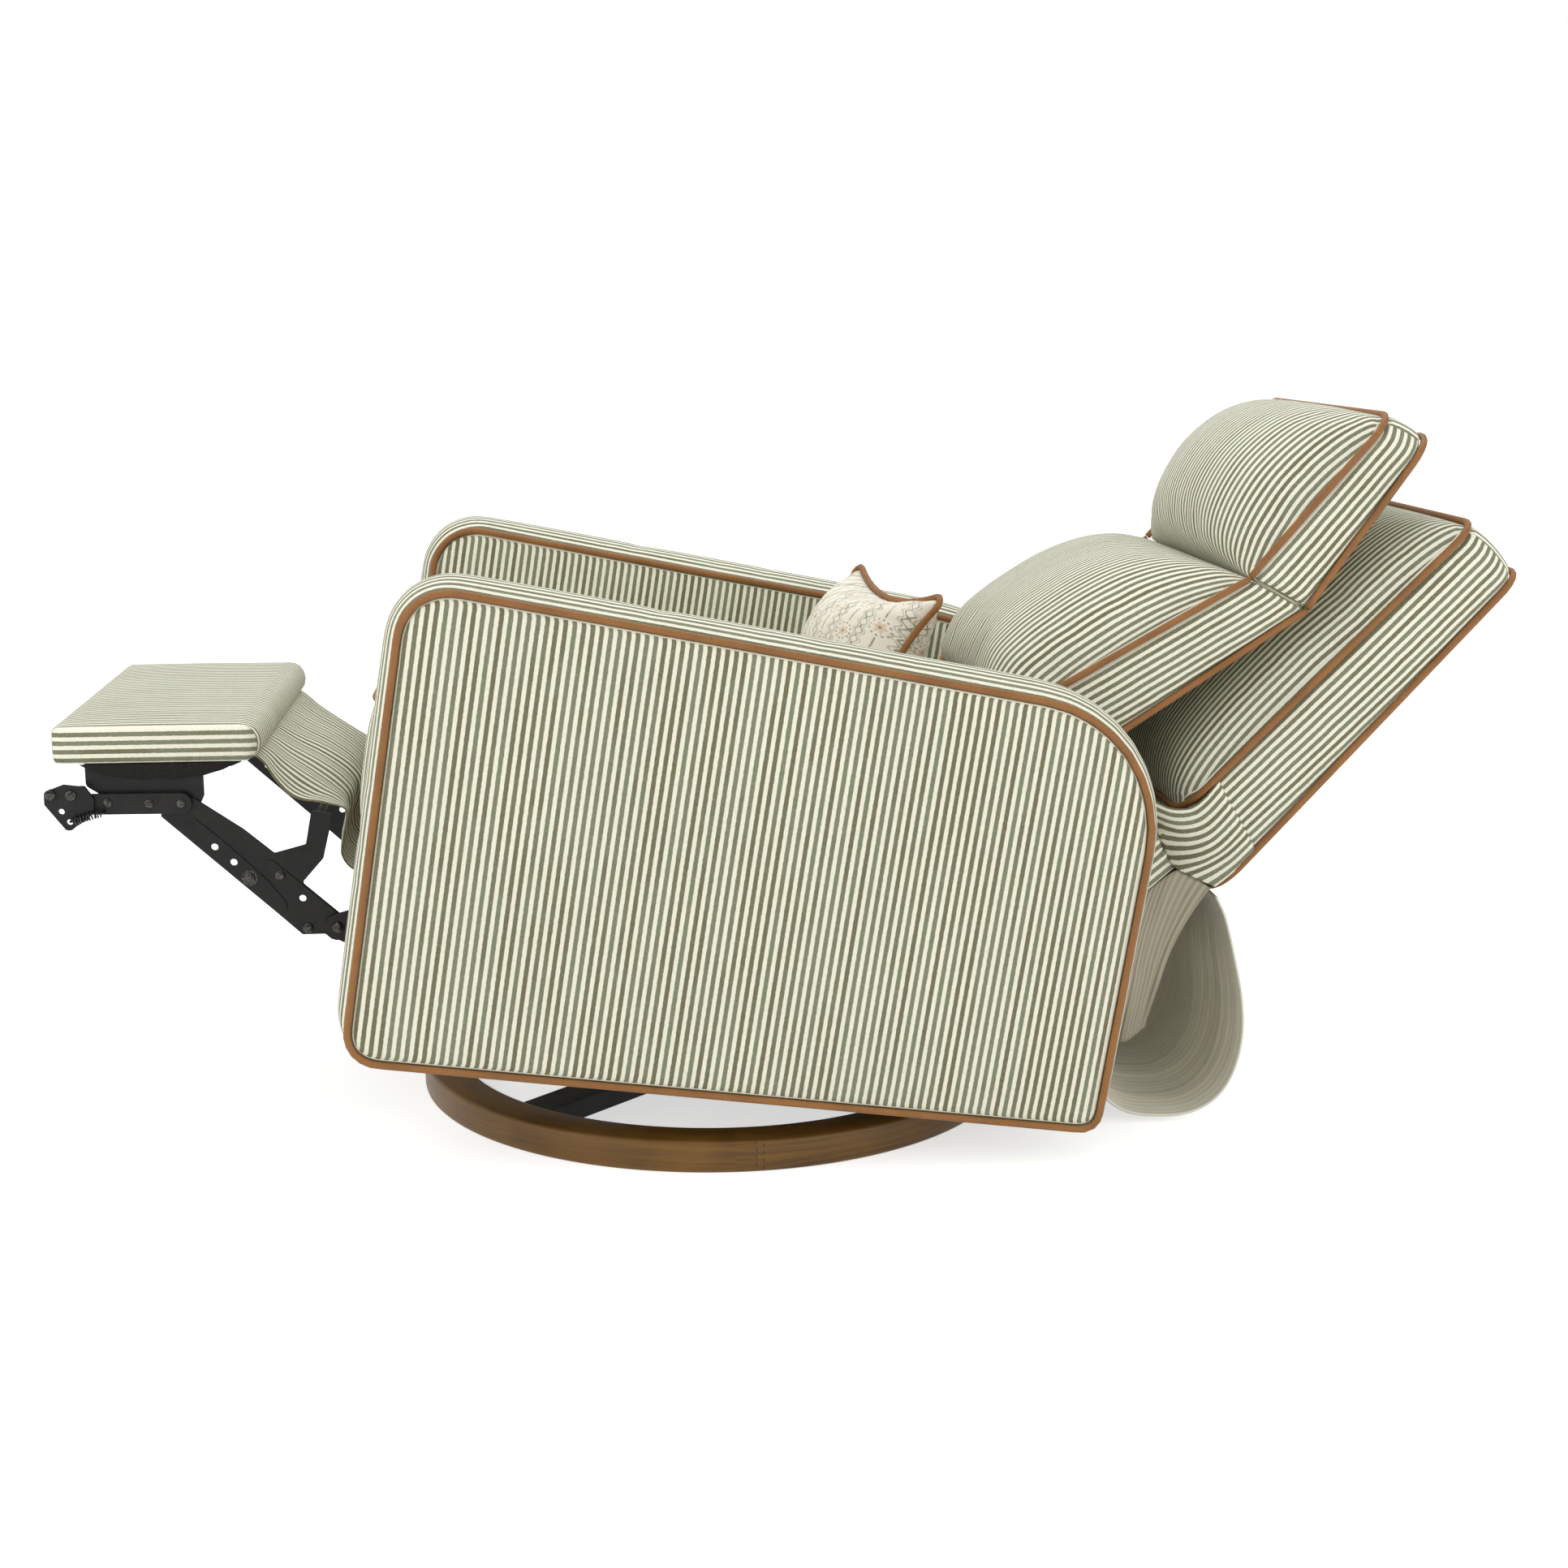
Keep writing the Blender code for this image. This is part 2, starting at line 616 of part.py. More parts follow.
def seat_box():
    """Hardwood rails between the arms and a deck of sinuous springs."""
    inner = SIDE_PLATE_X + GAP
    outer = ARM_INNER_X - GAP
    for side, hand in HANDS:
        low, high = sorted((side * inner, side * outer))
        block("seat_rail_" + hand, (low, RAIL_FRONT, RAIL_BOTTOM), (high, RAIL_REAR, RAIL_TOP), SEAT, HARDWOOD,
              RAIL_EASE)
    half = inner - GAP
    block("seat_front_rail", (-half, RAIL_FRONT, RAIL_TOP - CROSS_RAIL_SIDE),
          (half, RAIL_FRONT + CROSS_RAIL_SIDE, RAIL_TOP), SEAT, HARDWOOD, RAIL_EASE)
    half = SIDE_PLATE_X - STEEL - GAP
    block("seat_rear_rail", (-half, RAIL_REAR - CROSS_RAIL_SIDE, RAIL_TOP - 2 * CROSS_RAIL_SIDE),
          (half, RAIL_REAR, RAIL_TOP), SEAT, HARDWOOD, RAIL_EASE)
    start = RAIL_FRONT + CROSS_RAIL_SIDE / 2
    end = RAIL_REAR - CROSS_RAIL_SIDE / 2
    z = RAIL_TOP + GAP + SPRING_WIRE
    count = ceil((end - start) / SPRING_PITCH * SPRING_SIDES)
    deck = None
    for place in (0, -1, 1):
        points = []
        for k in range(count + 1):
            y = start + (end - start) * k / count
            x = place * SPRING_SPACING + SPRING_AMPLITUDE * sin(2 * pi * k / SPRING_SIDES)
            points.append((x, y, z))
        spring = tube("seat_springs" if deck is None else "spring", points, SPRING_WIRE, SEAT, STEEL_BLACK,
                      resolution=0, helper=deck is not None)
        if deck is None:
            deck = spring
        else:
            boolean(deck, spring, "UNION")
    reach = SPRING_SPACING + SPRING_AMPLITUDE
    for y in (start + (end - start) / 3, end - (end - start) / 3):
        tie = rod("spring_tie", SPRING_TIE_RADIUS, (-reach, y, z - SPRING_WIRE), (reach, y, z - SPRING_WIRE), SEAT,
                  None, 8, True)
        boolean(deck, tie, "UNION")


def seat_cushion():
    """The loose seat cushion, crowned on top, with piping round its top panel."""
    bottom = RAIL_TOP + 2 * GAP + 2 * SPRING_WIRE
    half = SEAT_HALF_WIDTH
    corners = ((-half, SEAT_FRONT), (half, SEAT_FRONT), (half, SEAT_REAR), (-half, SEAT_REAR))

    def rim(offset):
        moved = [(u + (offset if u > 0 else -offset), v + (offset if v > middle[1] else -offset))
                 for u, v in corners]
        return outline(moved, (SEAT_CORNER + offset,) * 4, 3, 3)

    def place(u, v, forward):
        return (u, v, bottom + forward)

    def thick(v):
        return SEAT_TOP - bottom

    middle = (0.0, (SEAT_FRONT + SEAT_REAR) / 2)
    size = (half, (SEAT_REAR - SEAT_FRONT) / 2)
    boxed("seat_cushion", rim, middle, size, place, thick, SEAT, FABRIC, SEAT_CROWN, 0.0, 0.0)
    piping("seat_cushion_piping", seam(rim, place, thick, 1), SEAT)


def mechanism():
    """The side plates with every pivot of the seat, and the drive on its torque tube."""
    pivots = [to_seat(GLIDE_REAR_Y, GLIDE_PIVOT_Z - GLIDE_LINK_LENGTH), FRONT_PIVOT]
    edge = PLATE_EDGE
    corners = ((SWING_PIVOT_Y - edge, SWING_PIVOT_Z - edge), (pivots[1].x - edge, pivots[1].y - edge),
               (pivots[0].x + edge, pivots[0].y - edge), (RECLINE_Y + edge, RECLINE_Z - edge),
               (RECLINE_Y + edge, RECLINE_Z + edge), (SWING_PIVOT_Y - edge, SWING_PIVOT_Z + edge))
    shape = outline(corners, (PLATE_CORNER,) * len(corners))
    for side, hand in HANDS:
        holes = [circle(y, z, LINK_HOLE_RADIUS) for y, z in ((SWING_PIVOT_Y, SWING_PIVOT_Z),
                                                             (RECLINE_Y, RECLINE_Z))]
        made = plate("mechanism_plate_" + hand, [shape] + holes, plane(side, 0), SEAT, STEEL_BLACK)
        end = GLIDE_FRAME_X + GLIDE_PLATE + 2 * GAP
        for pivot in pivots:
            stud = rod(made.name + "_stud", GLIDE_PIN_RADIUS, (side * (SIDE_PLATE_X - STEEL / 2), *pivot),
                       (side * end, *pivot), SEAT, None, helper=True)
            boolean(made, stud, "UNION")
    rod("drive_tube", TORQUE_TUBE_RADIUS, (plane(RIGHT, 1)[1] + GAP, 0.0, 0.0), (plane(LEFT, 1)[0] - GAP, 0.0, 0.0),
        SWING, STEEL_BLACK)
    front = RAIL_FRONT + CROSS_RAIL_SIDE + GAP
    rear = SWING_PIVOT_Y + TORQUE_TUBE_RADIUS * 2
    middle = SWING_PIVOT_Z
    motor = block("drive_motor", (-MOTOR_HALF_WIDTH, front, middle - MOTOR_HALF_HEIGHT),
                  (MOTOR_HALF_WIDTH, rear, middle + MOTOR_HALF_HEIGHT), SEAT, MOTOR_BLACK, MOTOR_EASE)
    barrel = rod("motor_barrel", MOTOR_BARREL_RADIUS, (0.0, rear - MOTOR_EASE, middle),
                 (0.0, rear + MOTOR_BARREL_LENGTH, middle), SEAT, None, 16, True)
    reach = MOTOR_HALF_WIDTH + OVERRUN
    bore = rod("motor_bore", TORQUE_TUBE_RADIUS + PIN_PLAY, (-reach, SWING_PIVOT_Y, SWING_PIVOT_Z),
               (reach, SWING_PIVOT_Y, SWING_PIVOT_Z), SEAT, None, helper=True)
    boolean(motor, barrel, "UNION")
    boolean(motor, bore, "DIFFERENCE")


# The long link's outline and points on it, as shares of its length: along it from the elbow, then below it
LONG_LINK_SHARES = ((-0.086, -0.055), (0.282, -0.061), (0.282, -0.227), (0.391, -0.436), (0.486, -0.382),
                    (0.395, -0.227), (0.486, -0.091), (0.682, -0.089), (0.964, -0.057), (1.073, 0.018),
                    (1.036, 0.123), (0.273, 0.144), (0.109, 0.150), (0.027, 0.077), (-0.091, 0.045))
LONG_LINK_BOSS_SHARE = (0.498, 0.087)
LONG_LINK_HOLE_SHARES = ((0.732, 0.075), (0.610, 0.076), (0.229, 0.001))
LONG_LINK_RIVET_SHARES = ((0.392, -0.020), (0.110, 0.106))
CROSS_BAR_SHARE = (0.436, -0.368)


def footrest_links():
    """Swing and long links on both sides, tied by a bar on the bracket of the long links."""
    length = LONG_LINK_LENGTH
    swing_length = (ELBOW - SWING_PIVOT).length
    for side, hand in HANDS:
        swing = plate("footrest_link_swing_" + hand,
                      [bar_outline((0.0, 0.0), (swing_length, 0.0), LINK_HALF),
                       circle(swing_length, 0.0, LINK_HOLE_RADIUS)], plane(side, 1), SWING, STEEL_BLACK)
        pin(swing, side, 1, 0, 0.0, 0.0, SWING)
        corners = [(s * length, w * length) for s, w in LONG_LINK_SHARES]
        holes = [(s * length, w * length) for s, w in LONG_LINK_HOLE_SHARES]
        long_link = plate("footrest_link_long_" + hand,
                          [outline(corners, (PLATE_CORNER / 2,) * len(corners), 2)]
                          + [circle(y, z, LINK_HOLE_RADIUS, 10) for y, z in holes]
                          + [circle(length, 0.0, LINK_HOLE_RADIUS)], plane(side, 2), LONG, STEEL_BLACK)
        pin(long_link, side, 2, 1, 0.0, 0.0, LONG, head=RIVET_HEAD)
        for s, w in LONG_LINK_RIVET_SHARES:
            rivet(long_link, side, 2, s * length, w * length, LONG)
        rivet(long_link, side, 2, *(share * length for share in LONG_LINK_BOSS_SHARE), LONG, BOSS_RADIUS)
    y, z = (share * length for share in CROSS_BAR_SHARE)
    rod("footrest_cross_bar", CROSS_BAR_RADIUS, (plane(RIGHT, 2)[1] + GAP, y, z), (plane(LEFT, 2)[0] - GAP, y, z),
        LONG, STEEL_BLACK, 12)


def from_board(u, w):
    """A place given from the rear lower edge of the board, in the footrest's frame on its pivot."""
    return (u + FOOT_PIVOT_BACK, w + FOOT_PIVOT_DROP)


def footrest():
    """The padded board, the cloth under it, and the steel that carries it."""
    half = FOOT_HALF_WIDTH

    def rim(offset):
        low = (-half - offset, -FOOT_LENGTH - offset)
        high = (half + offset, offset)
        corners = (low, (high[0], low[1]), high, (low[0], high[1]))
        return outline(corners, (FOOT_CORNER + max(0.0, offset),) * 4, 2, 2)

    def ring(size_u, offset, w):
        return [(u * size_u, *from_board(v, w)) for u, v in rim(offset)]

    edge = FOOT_EDGE
    rings = [ring(1, -edge, 0.0), ring(1, 0.0, edge / 2), ring(1, 0.0, FOOT_THICK - edge),
             ring(1, -edge / 3, FOOT_THICK - edge / 3), ring(1, -edge, FOOT_THICK),
             ring(1, -FOOT_LENGTH / 4, FOOT_THICK + FOOT_CROWN)]
    pad = loft("footrest_pad", rings, FOOT, FABRIC)
    inset = BOARD_INSET
    low = (inset - half, *from_board(inset - FOOT_LENGTH, -OVERRUN))
    high = (half - inset, *from_board(-inset, BOARD_THICK + GAP))
    boolean(pad, block("pad_recess", low, high, FOOT, None, helper=True), "DIFFERENCE")
    low = (inset + GAP - half, *from_board(inset + GAP - FOOT_LENGTH, 0.0))
    high = (half - inset - GAP, *from_board(-inset - GAP, BOARD_THICK))
    block("footrest_board", low, high, FOOT, HARDWOOD)
    front = DUST_FRONT - FOOT_LENGTH
    rear = -DUST_FRONT
    middle = (front + rear) / 2
    rings = []
    for size, drop in DUST_SHARES:
        along = (rear - front) / 2 * size
        across = DUST_HALF_WIDTH - (rear - front) / 2 * (1 - size)
        loop = outline(((-across, middle - along), (across, middle - along), (across, middle + along),
                        (-across, middle + along)), (FOOT_CORNER,) * 4, 2, 1)
        rings.append([(x, *from_board(y, -GAP - DUST_DEPTH * drop)) for x, y in loop])
    loft("footrest_dust_cover", rings, FOOT, DUST_CLOTH)
    for side, hand in HANDS:
        bracket(side, hand)
        side_link(side, hand)


# The cloth under the board: size of each ring and its share of the depth
DUST_SHARES = ((1.0, 0.0), (0.96, 0.45), (0.84, 0.85), (0.55, 1.0))
# Plates of the footrest as shares of the board's length: forward from its rear edge, then below it
BRACKET_SHARES = ((0.283, 0.0), (0.283, 0.17), (0.32, 0.245), (0.47, 0.245), (0.52, 0.205), (0.70, 0.205),
                  (0.845, 0.11), (0.845, 0.0))
# Corner radii of the bracket as shares of the plates' corner radius
BRACKET_RADIUS_SHARES = (0.1, 0.8, 1.0, 1.0, 0.6, 1.2, 0.6, 0.1)
SIDE_BAR_END_SHARE = (0.836, 0.196)
TRIANGLE_SHARES = ((0.841, 0.102), (0.876, 0.102), (0.942, 0.093), (1.035, 0.128), (1.035, 0.190), (0.938, 0.319),
                   (0.912, 0.319), (0.885, 0.297), (0.836, 0.270), (0.80, 0.225), (0.80, 0.165))
TRIANGLE_RIVET_SHARES = ((1.004, 0.142), (0.907, 0.146))
TRIANGLE_HOLE_SHARES = ((0.956, 0.226), (0.920, 0.279))
COIL_SHARES = ((0.915, 0.270), (0.757, 0.226))


def bracket(side, hand):
    """The angle bracket screwed under the board, with the pivot pin that passes both links."""
    corners = [from_board(-u * FOOT_LENGTH, -w * FOOT_LENGTH - GAP) for u, w in BRACKET_SHARES]
    radii = [PLATE_CORNER * share for share in BRACKET_RADIUS_SHARES]
    web = plate("footrest_bracket_" + hand, [outline(corners, radii, 2)], plane(side, 3), FOOT, STEEL_BLACK)
    inner, outer = plane(LEFT, 3)
    low, high = sorted((side * (inner - BRACKET_FLANGE), side * (inner + outer) / 2))
    y_low, z_high = from_board(-BRACKET_SHARES[-1][0] * FOOT_LENGTH + OVERRUN / 2, -GAP)
    y_high = from_board(-BRACKET_SHARES[0][0] * FOOT_LENGTH - OVERRUN / 2, 0.0)[0]
    flange = block("bracket_flange", (low, y_low, z_high - STEEL), (high, y_high, z_high), FOOT, None, helper=True)
    boolean(web, flange, "UNION")
    pin(web, side, 3, 1, 0.0, 0.0, FOOT)


def side_link(side, hand):
    """The flat bar beside the pivot, with the triangular plate and the small spring at its front end."""
    front = from_board(*(-share * FOOT_LENGTH for share in SIDE_BAR_END_SHARE))
    bar = plate("footrest_side_link_" + hand,
                [bar_outline((0.0, 0.0), front, SIDE_BAR_HALF), circle(0.0, 0.0, LINK_HOLE_RADIUS)],
                plane(side, 1), FOOT, STEEL_BLACK)
    corners = [from_board(-u * FOOT_LENGTH, -w * FOOT_LENGTH) for u, w in TRIANGLE_SHARES]
    holes = [circle(*from_board(-u * FOOT_LENGTH, -w * FOOT_LENGTH), SMALL_HOLE_RADIUS, 8)
             for u, w in TRIANGLE_HOLE_SHARES]
    triangle = plate("triangle", [outline(corners[::-1], (PLATE_CORNER / 3,) * len(corners), 2)] + holes,
                     plane(side, 0, inward=GAP * 2), FOOT, None, helper=True)
    boolean(bar, triangle, "UNION")
    for u, w in TRIANGLE_RIVET_SHARES:
        rivet(bar, side, 0, *from_board(-u * FOOT_LENGTH, -w * FOOT_LENGTH), FOOT)
    start, end = (Vector((0.0, *from_board(-u * FOOT_LENGTH, -w * FOOT_LENGTH))) for u, w in COIL_SHARES)
    along = end - start
    out = Vector((side, 0.0, 0.0))
    middle = out * (SIDE_PLATE_X + COIL_RADIUS)
    across = Vector((0.0, -along.z, along.y)).normalized()
    points = [start + out * (SIDE_PLATE_X - STEEL / 2), start + middle, start + along * COIL_END_SHARE / 2 + middle]
    steps = COIL_TURNS * COIL_STEPS
    for k in range(steps + 1):
        angle = 2 * pi * k / COIL_STEPS
        centre = start + along * (COIL_END_SHARE + (1 - 2 * COIL_END_SHARE) * k / steps) + middle
        points.append(centre + out * COIL_RADIUS * cos(angle) + across * COIL_RADIUS * sin(angle))
    points += [end - along * COIL_END_SHARE / 2 + middle, end + middle, end + out * (SIDE_PLATE_X - STEEL - STEEL / 2)]
    coil = tube("coil", points, COIL_WIRE, FOOT, None, resolution=0, helper=True)
    boolean(bar, coil, "UNION")


def back():
    """The padded back with piping round both faces, and the rail and lugs that hinge it."""
    low, high = BACK_BOTTOM, BACK_TOP
    half = BACK_HALF_WIDTH

    def rim(offset):
        corners = ((-half - offset, low - offset), (half + offset, low - offset), (half + offset, high + offset),
                   (-half - offset, high + offset))
        return outline(corners, (BACK_CORNER + offset,) * 4, 3, 2)

    def rear(v):
        return BACK_REAR_TOP_Y + (BACK_REAR_BOTTOM_Y - BACK_REAR_TOP_Y) * (high - v) / (high - low)

    def thick(v):
        return rear(v) - BACK_FRONT_Y

    def place(u, v, forward):
        rise = BACK_FRONT_RISE * max(0.0, forward) / thick(low) * (high - v) / (high - low)
        return (u, rear(v) - forward, v + min(rise, BACK_FRONT_RISE))

    middle = (0.0, (low + high) / 2)
    crown = BACK_FRONT_Y - HEAD_Y - PIPING_RADIUS - SOFT_GAP + BACK_FILL
    boxed("back_shell", rim, middle, (half, (high - low) / 2), place, thick, BACK, FABRIC, crown, BACK_CROWN,
          BACK_BULGE, face_inset=SLANT_INSET)
    piping("back_piping_front", seam(rim, place, thick, 1), BACK)
    piping("back_piping_rear", seam(rim, place, thick, 0), BACK)

    def under(forward):
        """The underside of the shell between its rear seam and the middle of its boxing."""
        swollen = (forward - SEAM_INSET) / (thick(low) / 2 - SEAM_INSET)
        return low + BACK_FRONT_RISE * forward / thick(low) - BACK_BULGE * swollen - SOFT_GAP

    rear_edge = rear(low) - SLANT_INSET
    front_edge = rear_edge - BACK_RAIL_SIDE
    corners = ((front_edge, low - BACK_RAIL_SIDE), (rear_edge, low - BACK_RAIL_SIDE),
               (rear_edge, under(SLANT_INSET)), (front_edge, under(SLANT_INSET + BACK_RAIL_SIDE)))
    lug_x = plane(LEFT, 1)
    rail = plate("back_hinge_rail", [outline(corners, (RAIL_EASE,) * 4, 1)],
                 (-lug_x[0] - STEEL / 2, lug_x[0] + STEEL / 2), BACK, STEEL_BLACK)
    centre = (rear_edge - BACK_RAIL_SIDE / 2, low - BACK_RAIL_SIDE / 2)
    for side, hand in HANDS:
        lug = plate("back_lug_" + hand, [bar_outline((0.0, 0.0), centre, LUG_HALF)], plane(side, 1), BACK, None,
                    helper=True)
        boolean(rail, lug, "UNION")
        pin(rail, side, 1, 0, 0.0, 0.0, BACK)


def back_cushions():
    """The lower back cushion and the headrest, which meet along a crease on the headrest's hinge."""
    half = CUSHION_HALF_WIDTH

    def seam_rim(low, high, radii):
        def rim(offset):
            corners = ((-half - offset, low - offset), (half + offset, low - offset),
                       (half + offset, high + offset), (-half - offset, high + offset))
            return outline(corners, [radius + offset for radius in radii], 3, 2)
        return rim

    crease = PIPING_RADIUS + SOFT_GAP / 2
    tight = SLANT_INSET + SOFT_GAP
    top = HEAD_Z - crease
    low_rim = seam_rim(CUSHION_BOTTOM, top, (CUSHION_CORNER, CUSHION_CORNER, tight, tight))

    def low_share(v):
        return (v - CUSHION_BOTTOM) / (HEAD_Z - CUSHION_BOTTOM)

    def low_thick(v):
        return CUSHION_THICK_BOTTOM + (CUSHION_THICK_TOP - CUSHION_THICK_BOTTOM) * low_share(v)

    def low_place(u, v, forward):
        y = HEAD_Y - CUSHION_REAR_SLOPE * (HEAD_Z - v) - forward
        return (u, y, v - CREASE_SLOPE * forward * low_share(v))

    middle = (0.0, (CUSHION_BOTTOM + top) / 2)
    size = (half, (top - CUSHION_BOTTOM) / 2)
    boxed("back_cushion", low_rim, middle, size, low_place, low_thick, BACK, FABRIC, CUSHION_CROWN, 0.0, 0.0,
          (4, 2), SLANT_INSET)
    piping("back_cushion_piping_front", seam(low_rim, low_place, low_thick, 1), BACK)
    piping("back_cushion_piping_rear", seam(low_rim, low_place, low_thick, 0), BACK)
    head_rim = seam_rim(crease, HEAD_HEIGHT, (tight, tight, HEAD_CORNER, HEAD_CORNER))

    def head_thick(v):
        return CUSHION_THICK_TOP + (HEAD_THICK_TOP - CUSHION_THICK_TOP) * v / HEAD_HEIGHT

    def head_place(u, v, forward):
        return (u, -HEAD_INSET - HEAD_SLOPE * v - forward, v - CREASE_SLOPE * forward)

    middle = (0.0, HEAD_HEIGHT / 2)
    size = (half, HEAD_HEIGHT / 2)
    boxed("headrest_cushion", head_rim, middle, size, head_place, head_thick, HEAD, FABRIC, HEAD_CROWN, 0.0, 0.0,
          (4, 4))
    piping("headrest_piping_front", seam(head_rim, head_place, head_thick, 1), HEAD)
    piping("headrest_piping_rear", seam(head_rim, head_place, head_thick, 0), HEAD)


# Half width of the drape's folds and route of its section, as shares of the drop from the back to the floor side
DRAPE_ROUTE_SHARES = ((0.000, 0.000), (0.060, -0.090), (0.135, -0.260), (0.200, -0.430), (0.235, -0.600),
                      (0.225, -0.760), (0.170, -0.880), (0.070, -0.955), (-0.060, -0.985), (-0.200, -0.985),
                      (-0.310, -0.930), (-0.400, -0.800), (-0.455, -0.640))
FLAP_ROUTE_SHARES = ((0.000, 0.000), (0.28, -0.14), (0.56, -0.29), (0.77, -0.47), (0.865, -0.66), (0.80, -0.93),
                     (0.76, -1.14), (0.82, -1.32), (0.98, -1.40), (1.25, -1.28))


def hanging_cloth():
    """The loose cover that folds behind the seat as it reclines, and the flap behind the footrest."""
    rows = []
    for share_y, share_z in DRAPE_ROUTE_SHARES:
        row = []
        for k in range(CLOTH_COLUMNS + 1):
            x = DRAPE_HALF_WIDTH * (2 * k / CLOTH_COLUMNS - 1)
            wave = DRAPE_WAVE * sin(2 * pi * k / CLOTH_COLUMNS * DRAPE_FOLDS) * sin(pi * min(1.0, -share_z))
            row.append((x, DRAPE_TOP_Y + share_y * DRAPE_HEIGHT + wave, DRAPE_TOP_Z + share_z * DRAPE_HEIGHT))
        rows.append(row)
    sheet("rear_drape", rows, CLOTH_THICK, SEAT, FABRIC)
    start_y = FOOT_REAR_Y + SOFT_GAP + FLAP_THICK / 4
    start_z = FOOT_UNDER_Z + FOOT_EDGE
    rows = []
    for share_y, share_z in FLAP_ROUTE_SHARES:
        row = []
        for k in range(CLOTH_COLUMNS + 1):
            x = FLAP_HALF_WIDTH * (2 * k / CLOTH_COLUMNS - 1)
            y, z = to_seat(start_y + share_y * FLAP_LENGTH, start_z + share_z * FLAP_LENGTH)
            row.append((x, y, z))
        rows.append(row)
    sheet("footrest_flap", rows, FLAP_THICK, SEAT, FABRIC)


# Rings of the pillow from the rear panel to the face: size and share of the half thickness
PILLOW_RING_SHARES = ((0.25, -1.0), (0.55, -0.86), (0.80, -0.56), (1.0, -0.04), (1.0, 0.04), (0.80, 0.56),
                      (0.55, 0.86), (0.25, 1.0))


def pillow():
    """A knife-edge pillow with drawn-in sides, pointed ears and piping round its seam."""

    def rim(offset):
        across = PILLOW_HALF_WIDTH + offset
        up = PILLOW_HALF_HEIGHT + offset
        corners = ((-across, -up), (across, -up), (across, up), (-across, up))
        return outline(corners, (PILLOW_EAR + offset,) * 4, 2, 4, PILLOW_DRAW)

    rings = []
    for size, rise in PILLOW_RING_SHARES:
        loop = rim(-PIPING_RADIUS - SOFT_GAP)
        rings.append([(u * size, rise * PILLOW_HALF_THICK, v * size) for u, v in loop])
    loft("lumbar_pillow", rings, PILLOW, PRINT)
    piping("lumbar_pillow_piping", [(u, 0.0, v) for u, v in rim(0.0)], PILLOW)


def controls():
    """A control pad with push buttons inside the left arm, and the inlet of the power lead at the rear."""
    face = ARM_INNER_X - GAP
    low = ARM_TOP - PAD_DROP
    high = low + PAD_HEIGHT
    corners = ((PAD_FRONT, low), (PAD_FRONT + PAD_LENGTH, low), (PAD_FRONT + PAD_LENGTH, high), (PAD_FRONT, high))
    pitch = PAD_LENGTH / BUTTON_COUNT
    places = [PAD_FRONT + pitch * (k + 1 / 2) for k in range(BUTTON_COUNT)]
    z = (low + high) / 2
    plate("control_pad", [outline(corners, (PAD_HEIGHT / 3,) * 4, 3)]
          + [circle(y, z, BUTTON_RADIUS + PIN_PLAY, 12) for y in places], (face - PAD_THICK, face), SEAT, PLASTIC)
    inner = face - GAP - BUTTON_TRAVEL
    for k, y in enumerate(places):
        frame = frame_empty("button_frame_%d" % (k + 1), SEAT, y, z)
        rod("control_button_%d" % (k + 1), BUTTON_RADIUS, (inner - BUTTON_LENGTH, 0.0, 0.0), (inner, 0.0, 0.0),
            frame, PLASTIC, 12)
    low_z = RAIL_TOP - 2 * CROSS_RAIL_SIDE - GAP
    inlet = block("power_inlet", (-INLET_SIDE / 2, RAIL_REAR - INLET_SIDE, low_z - INLET_SIDE),
                  (INLET_SIDE / 2, RAIL_REAR, low_z), SEAT, PLASTIC)
    socket = block("inlet_socket", (INLET_WALL - INLET_SIDE / 2, RAIL_REAR - INLET_SIDE / 2, low_z - INLET_SIDE
                                    + INLET_WALL),
                   (INLET_SIDE / 2 - INLET_WALL, RAIL_REAR + OVERRUN, low_z - INLET_WALL), SEAT, None, helper=True)
    boolean(inlet, socket, "DIFFERENCE")


for item in list(bpy.data.objects):
    bpy.data.objects.remove(item, do_unlink=True)
PARTS = collection("recliner")
CUTTERS = collection("cutters")

FABRIC = material("striped_fabric", (0.50, 0.50, 0.41), 0.85)
PRINT = material("printed_linen", (0.70, 0.63, 0.48), 0.85)
LEATHER = material("tan_leather", (0.34, 0.11, 0.04), 0.55)
DUST_CLOTH = material("dust_cloth", (0.03, 0.03, 0.03), 0.9)
WALNUT = material("walnut", (0.13, 0.075, 0.032), 0.45)
HARDWOOD = material("frame_hardwood", (0.50, 0.34, 0.19), 0.6)
STEEL_BLACK = material("black_steel", (0.020, 0.019, 0.018), 0.4, 0.8)
PLASTIC = material("black_plastic", (0.02, 0.02, 0.02), 0.5)
MOTOR_BLACK = material("motor_black", (0.03, 0.03, 0.035), 0.5)

# The glide swings as far as it takes to bring the tilted seat level
GLIDE_SWING = acos((1 - tan(SEAT_TILT / 2) * GLIDE_SPAN / GLIDE_LINK_LENGTH) * cos(SEAT_TILT / 2)) - SEAT_TILT / 2
FRONT_PIVOT = to_seat(GLIDE_REAR_Y - GLIDE_SPAN + GLIDE_LINK_LENGTH * sin(GLIDE_SWING),
                      GLIDE_PIVOT_Z - GLIDE_LINK_LENGTH * cos(GLIDE_SWING))
SWING_PIVOT = Vector((SWING_PIVOT_Y, SWING_PIVOT_Z))
FOOT_PIVOT = to_seat(FOOT_REAR_Y - FOOT_PIVOT_BACK, FOOT_UNDER_Z - FOOT_PIVOT_DROP)
ELBOW = FOOT_PIVOT + Vector((cos(LONG_LINK_RISE), -sin(LONG_LINK_RISE))) * LONG_LINK_LENGTH
SWING_ANGLE = atan2(ELBOW.y - SWING_PIVOT.y, ELBOW.x - SWING_PIVOT.x)

